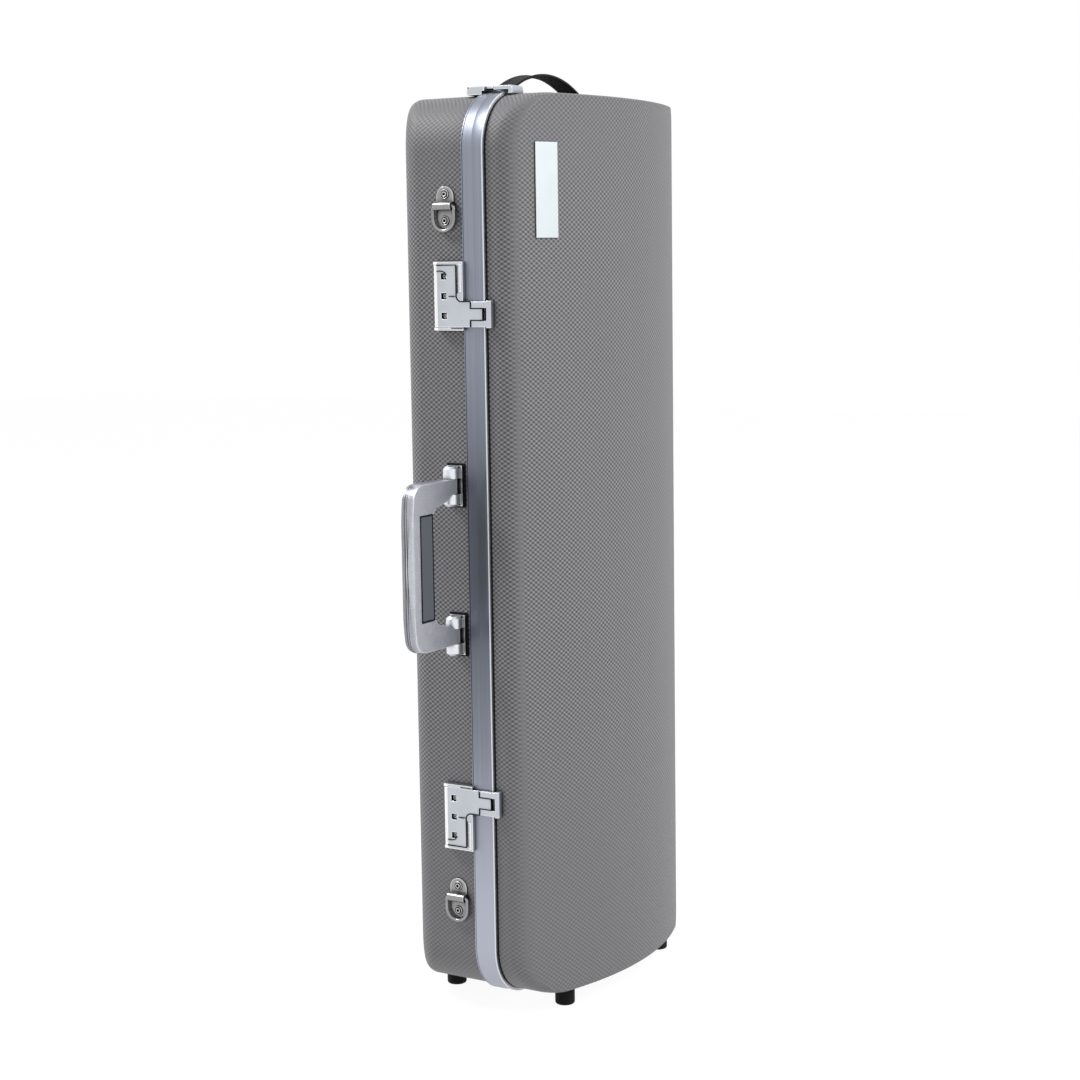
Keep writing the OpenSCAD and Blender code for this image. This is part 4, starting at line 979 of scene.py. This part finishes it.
def joint_lines(name, node, chains, radius):
    """Dark lines along chains of points, on the node's body."""
    curve = bpy.data.curves.new(name, "CURVE")
    curve.dimensions = "3D"
    curve.bevel_depth = radius
    curve.bevel_resolution = 2
    curve.use_fill_caps = True
    for chain in chains:
        line = curve.splines.new("POLY")
        line.points.add(len(chain) - 1)
        for point, place in zip(line.points, chain):
            point.co = (*place, 1)
    drawn = bpy.data.objects.new(name + "_path", curve)
    bm = bmesh.new()
    bm.from_mesh(bpy.data.meshes.new_from_object(drawn))
    bpy.data.objects.remove(drawn)
    piece(name, bm, BODY_OF[node], "seal_rubber")


def nearer_than(x):
    """A test for places on the handle side of an X."""
    return lambda place: place.x < x


def height_of(chain):
    return max(place.z for place in chain) - min(place.z for place in chain)


GRIP_LINE = 0.75 * MM
for side, sy in (("front", -1), ("back", 1)):
    edge = face_outline("handle_grip", (0, sy, 0), nearer_than(grip_high.x - 0.5 * MM), 10 * MM)
    joint_lines("grip_joint_" + side, "handle_grip", edge, GRIP_LINE)

# %% [markdown]
# The handle's two lines
#
# They run along the middle of the outer bar. The outline of the handle's front face has the right
# bends, so it is laid at the lines' own Y and moved out to the crown of the bar.

# %% Lines along the handle
HANDLE_BAR = 15 * MM
HANDLE_LINE = 0.22 * MM
LINES_APART = 2.2 * MM
SUNK = 0.1 * MM
handle_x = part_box("carry_handle")[0][0]
rim = face_outline("carry_handle", (0, -1, 0), nearer_than(handle_x + HANDLE_BAR))
outer = [[place for place in chain if place.x < handle_x + HANDLE_BAR] for chain in rim]
outer = max(outer, key=height_of)
crown = handle_x - min(place.x for place in outer) - SUNK
lines = [[Vector((place.x + crown, y, place.z)) for place in outer]
         for y in (HANDLE_JOINT, HANDLE_JOINT - LINES_APART)]
joint_lines("handle_joint", "carry_handle", lines, HANDLE_LINE)

# %% [markdown]
# The side latches' lines
#
# One runs round each lever. The housing has one beside its rib and one across its foot, and the
# lever has a short slot and a notch, which swing out with it.

# %% Lines on the latches
LATCH_FACE = -145.3
LEVER_BACK_Y = 22.5
LEVER_INNER_END = 26
LEVER_LIFT = Vector((-0.4 * MM, 0, 0))
MARK_LIFT = 0.5
LEVER_LINE = 0.55 * MM
MARK_LINE = 0.36 * MM


def on_lever_rim(place):
    return (place.y < at(0, LEVER_BACK_Y, 0).y
            and abs(place.z - FITTINGS_Z * MM) > (LATCH_Z - LEVER_INNER_END) * MM)


def latch_line(middle, up, lift, *pairs):
    """Places on a latch's face. Each pair is a Y and a rise from the latch's middle."""
    return [at(LATCH_FACE - lift, y, middle + up * rise) for y, rise in pairs]


for name, up in (("upper", 1), ("lower", -1)):
    middle = FITTINGS_Z + up * LATCH_Z
    lever = name + "_latch_lever"
    rim = face_outline(lever, (-1, 0, 0), on_lever_rim)
    rim = [[place + LEVER_LIFT for place in chain] for chain in rim]
    joint_lines(name + "_lever_joint", lever, rim, LEVER_LINE)
    slot = latch_line(middle, up, MARK_LIFT, (11.8, -0.2), (5.9, -0.2))
    notch = latch_line(middle, up, MARK_LIFT, (23.4, 21.2), (20, 21.4), (16, 20.2), (14.4, 17.6))
    joint_lines(name + "_lever_marks", lever, [slot, notch], MARK_LINE)
    rib = latch_line(middle, up, 0, (3.0, 25.6), (3.0, 2.4))
    foot = latch_line(middle, up, 0, (9.7, -27.4), (-2, -27.4))
    joint_lines(name + "_housing_joint", name + "_latch_housing", [rib, foot], MARK_LINE)

# %% [markdown]
# Ridges on the latches
#
# Beside its lever, each side latch has a rib cast along the rim. It is a half round bar: a point is
# spun half a turn to give one end, which is filled and pushed along the rim, and the sharp edges
# are bevelled.


# %% Latch ridges
def half_round(bm, foot, along, length, radius, outward):
    """A bar with a half round back, from a place along a direction."""
    side = Vector(along).cross(outward).normalized() * radius
    first = bm.verts.new(foot + side)
    bmesh.ops.spin(bm, geom=[first], cent=foot, axis=along, angle=-math.pi, steps=10)
    verts = [vert for vert in bm.verts if abs((vert.co - foot).length - radius) < 1e-6]
    verts.sort(key=lambda vert: (vert.co - foot).angle(side))
    face = bm.faces.new(verts)
    end = bmesh.ops.extrude_face_region(bm, geom=[face])["geom"]
    shift(bm, end, Vector(along) * length)
    edges = [edge for edge in bm.edges if edge.calc_face_angle(0) > 1.2]
    bmesh.ops.bevel(bm, geom=edges, offset=radius * 0.25, offset_type="OFFSET", segments=2,
                    profile=0.5, affect="EDGES", material=-1, clamp_overlap=True)


RIDGE_Y = 0.6
RIDGE_OUT = 6.6
RIDGE_START = 3.2
RIDGE_RADIUS = 1.5 * MM
RIDGE_LENGTH = 24.4 * MM
for name, up in (("upper_latch", 1), ("lower_latch", -1)):
    bm = bmesh.new()
    middle = FITTINGS_Z + up * LATCH_Z
    foot = at(-SHELL_X - RIDGE_OUT, RIDGE_Y, middle + up * RIDGE_START)
    half_round(bm, foot, (0, 0, up), RIDGE_LENGTH, RIDGE_RADIUS, Vector(TO_NEAR))
    piece(name + "_ridge", bm, BODY_OF[name + "_housing"], "latch_metal")

# %% [markdown]
# Webbing
#
# A strap is a long thin ribbon. A grid is laid along a path, one row of faces for each small step,
# and gets its thickness afterwards. Its UV map holds the length along the strap and the distance
# across it in metres, so that the weave keeps its size round the bend.


# %% Lay a ribbon along a path
ROWS_ACROSS = 8


def ribbon(name, node, path, across, width, thickness, outward):
    """Webbing along points in space, with a UV map that its weave follows."""
    last = len(path) - 1
    bm = bmesh.new()
    bmesh.ops.create_grid(bm, x_segments=last, y_segments=ROWS_ACROSS, size=0.5)
    weave = bm.loops.layers.uv.new("weave")
    steps = [0.0]
    for a, b in zip(path, path[1:]):
        steps.append(steps[-1] + (b - a).length)
    places = {vert: (round((vert.co.x + 0.5) * last), vert.co.y) for vert in bm.verts}
    for vert, (i, side) in places.items():
        before, after = path[max(i - 1, 0)], path[min(i + 1, last)]
        normal = (after - before).cross(across).normalized() * outward
        edge = 1 - (2 * side) ** 6
        vert.co = path[i] + across * (side * width) + normal * (thickness * 0.5 * (edge - 1))
    for face in bm.faces:
        for loop in face.loops:
            i, side = places[loop.vert]
            loop[weave].uv = (steps[i], side * width)
    bmesh.ops.recalc_face_normals(bm, faces=bm.faces)
    bmesh.ops.solidify(bm, geom=bm.faces[:], thickness=thickness)
    stand_in(name, bm, node, 60)


STRAP_SPAN = 146
STRAP_RISE = 24.3
STRAP_Y = 15.1
STRAP_MIDDLE = 14
STRAP_THICK = 2
STRAP_WIDTH = 18
STRAP_HALF = 85
STRAP_SOFTNESS = 2.5
ARC_RADIUS = (STRAP_SPAN ** 2 / 4 + STRAP_RISE ** 2) / (2 * STRAP_RISE)


def laid(lift):
    """A lift that is never less than the webbing's thickness and eases into it."""
    over = (lift - STRAP_THICK) / STRAP_SOFTNESS
    return STRAP_SOFTNESS * math.log(1 + math.exp(over)) + STRAP_THICK


path = []
for step in range(-2 * STRAP_HALF, 2 * STRAP_HALF + 1):
    x = step / 2
    lift = STRAP_RISE - ARC_RADIUS + math.sqrt(max(ARC_RADIUS ** 2 - x * x, 0))
    z = SHELL_TOP + laid(lift) * STRAP_RISE / laid(STRAP_RISE)
    path.append(at(STRAP_MIDDLE + x, STRAP_Y, z))
ribbon("webbing_strap", "top_strap", path, Vector((0, 1, 0)), STRAP_WIDTH * MM,
       STRAP_THICK * MM, -1)

# %% [markdown]
# Foam under plush
#
# The cradle, the neck's block and the bow sleeves are foam covered with plush, and nothing about
# them is sharp. Each is copied from its solid, rebuilt as an even net of small faces by a voxel
# remesh, and then smoothed, which rounds every edge a little, as a cloth cover does. The remesh
# also gives faces of one size, so the nap looks the same everywhere.


# %% Soften a block
def keep_result(made):
    """Turns what the modifiers show into the object's own mesh."""
    graph = bpy.context.evaluated_depsgraph_get()
    mesh = bpy.data.meshes.new_from_object(made.evaluated_get(graph))
    made.modifiers.clear()
    made.data = mesh
    mesh.polygons.foreach_set("use_smooth", [True] * len(mesh.polygons))


def even_net(name, node, voxel, rounds):
    """An even net of faces with rounded edges, which takes a block's place."""
    made = piece(name, merged_copy(node), BODY_OF[node], SLOT_OF[node], weighted=False)
    remesh = made.modifiers.new("even faces", "REMESH")
    remesh.mode = "VOXEL"
    remesh.voxel_size = voxel * MM
    smooth = made.modifiers.new("rounded edges", "SMOOTH")
    smooth.factor = 0.5
    smooth.iterations = rounds
    keep_result(made)
    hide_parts(node)
    print("remeshed to", len(made.data.polygons))
    return made


for name, node, voxel, rounds, fill in (("plush_cradle", "viola_cradle", 3.4, 16, 1.0),
                                        ("plush_neck_block", "neck_block", 2.0, 6, 1.0),
                                        ("plush_bow_sleeves", "bow_tip_sleeves", 1.5, 4, 0.9)):
    even_net(name, node, voxel, rounds)

# %% [markdown]
# Two cushions in the well
#
# The viola's back rests on two small cushions. Real ones are a cover sewn over loose filling, so
# they are blown up by a short cloth simulation: the solid is remeshed, a little pressure fills it,
# and each point may move only a few millimetres and never through the floor of the well.

# %% Fill the cushions
PRESSURE = 4
FRAMES = 20
MOST = 2.6 * MM
WELL_FLOOR = 49.6


def inflate(made):
    """Blows a cushion up, with limits on how far a point may move."""
    rest = [vert.co.copy() for vert in made.data.vertices]
    cloth = made.modifiers.new("cloth", "CLOTH")
    cloth.settings.use_pressure = True
    cloth.settings.uniform_pressure_force = PRESSURE
    cloth.settings.effector_weights.gravity = 0
    cloth.point_cache.frame_start = 1
    cloth.point_cache.frame_end = FRAMES
    for frame_number in range(1, FRAMES + 1):
        scene.frame_set(frame_number)
    graph = bpy.context.evaluated_depsgraph_get()
    blown = made.evaluated_get(graph).data
    moved = [vert.co.copy() for vert in blown.vertices]
    made.modifiers.remove(cloth)
    scene.frame_set(1)
    floor_y = at(0, WELL_FLOOR, 0).y
    for vert, start, end in zip(made.data.vertices, rest, moved):
        step = end - start
        if step.length > MOST:
            step *= MOST / step.length
        vert.co = start + step
        vert.co.y = min(vert.co.y, floor_y)


for name in ("lower", "upper"):
    made = even_net(name + "_cushion", name + "_back_pad", 2.6, 6)
    inflate(made)
    finer = made.modifiers.new("finer", "SUBSURF")
    finer.levels = finer.render_levels = 1

# %% [markdown]
# The neck's strap
#
# A short webbing strap holds the neck down on its block. It lies flat on the foam at both ends and
# rises a little between them.

# %% Neck strap
low, high = (Vector(corner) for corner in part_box("neck_strap"))
middle = (low + high) / 2
NECK_STRAP_BOW = 1.5 * MM
path = []
for step in range(-35, 36):
    t = step / 35
    bow = NECK_STRAP_BOW * max(0, math.cos(t * math.pi * 0.72)) ** 2
    path.append(Vector((middle.x + t * (high.x - low.x) / 2, high.y - bow, middle.z)))
ribbon("neck_webbing", "neck_strap", path, Vector((0, 0, 1)), high.z - low.z, 1.5 * MM, 1)
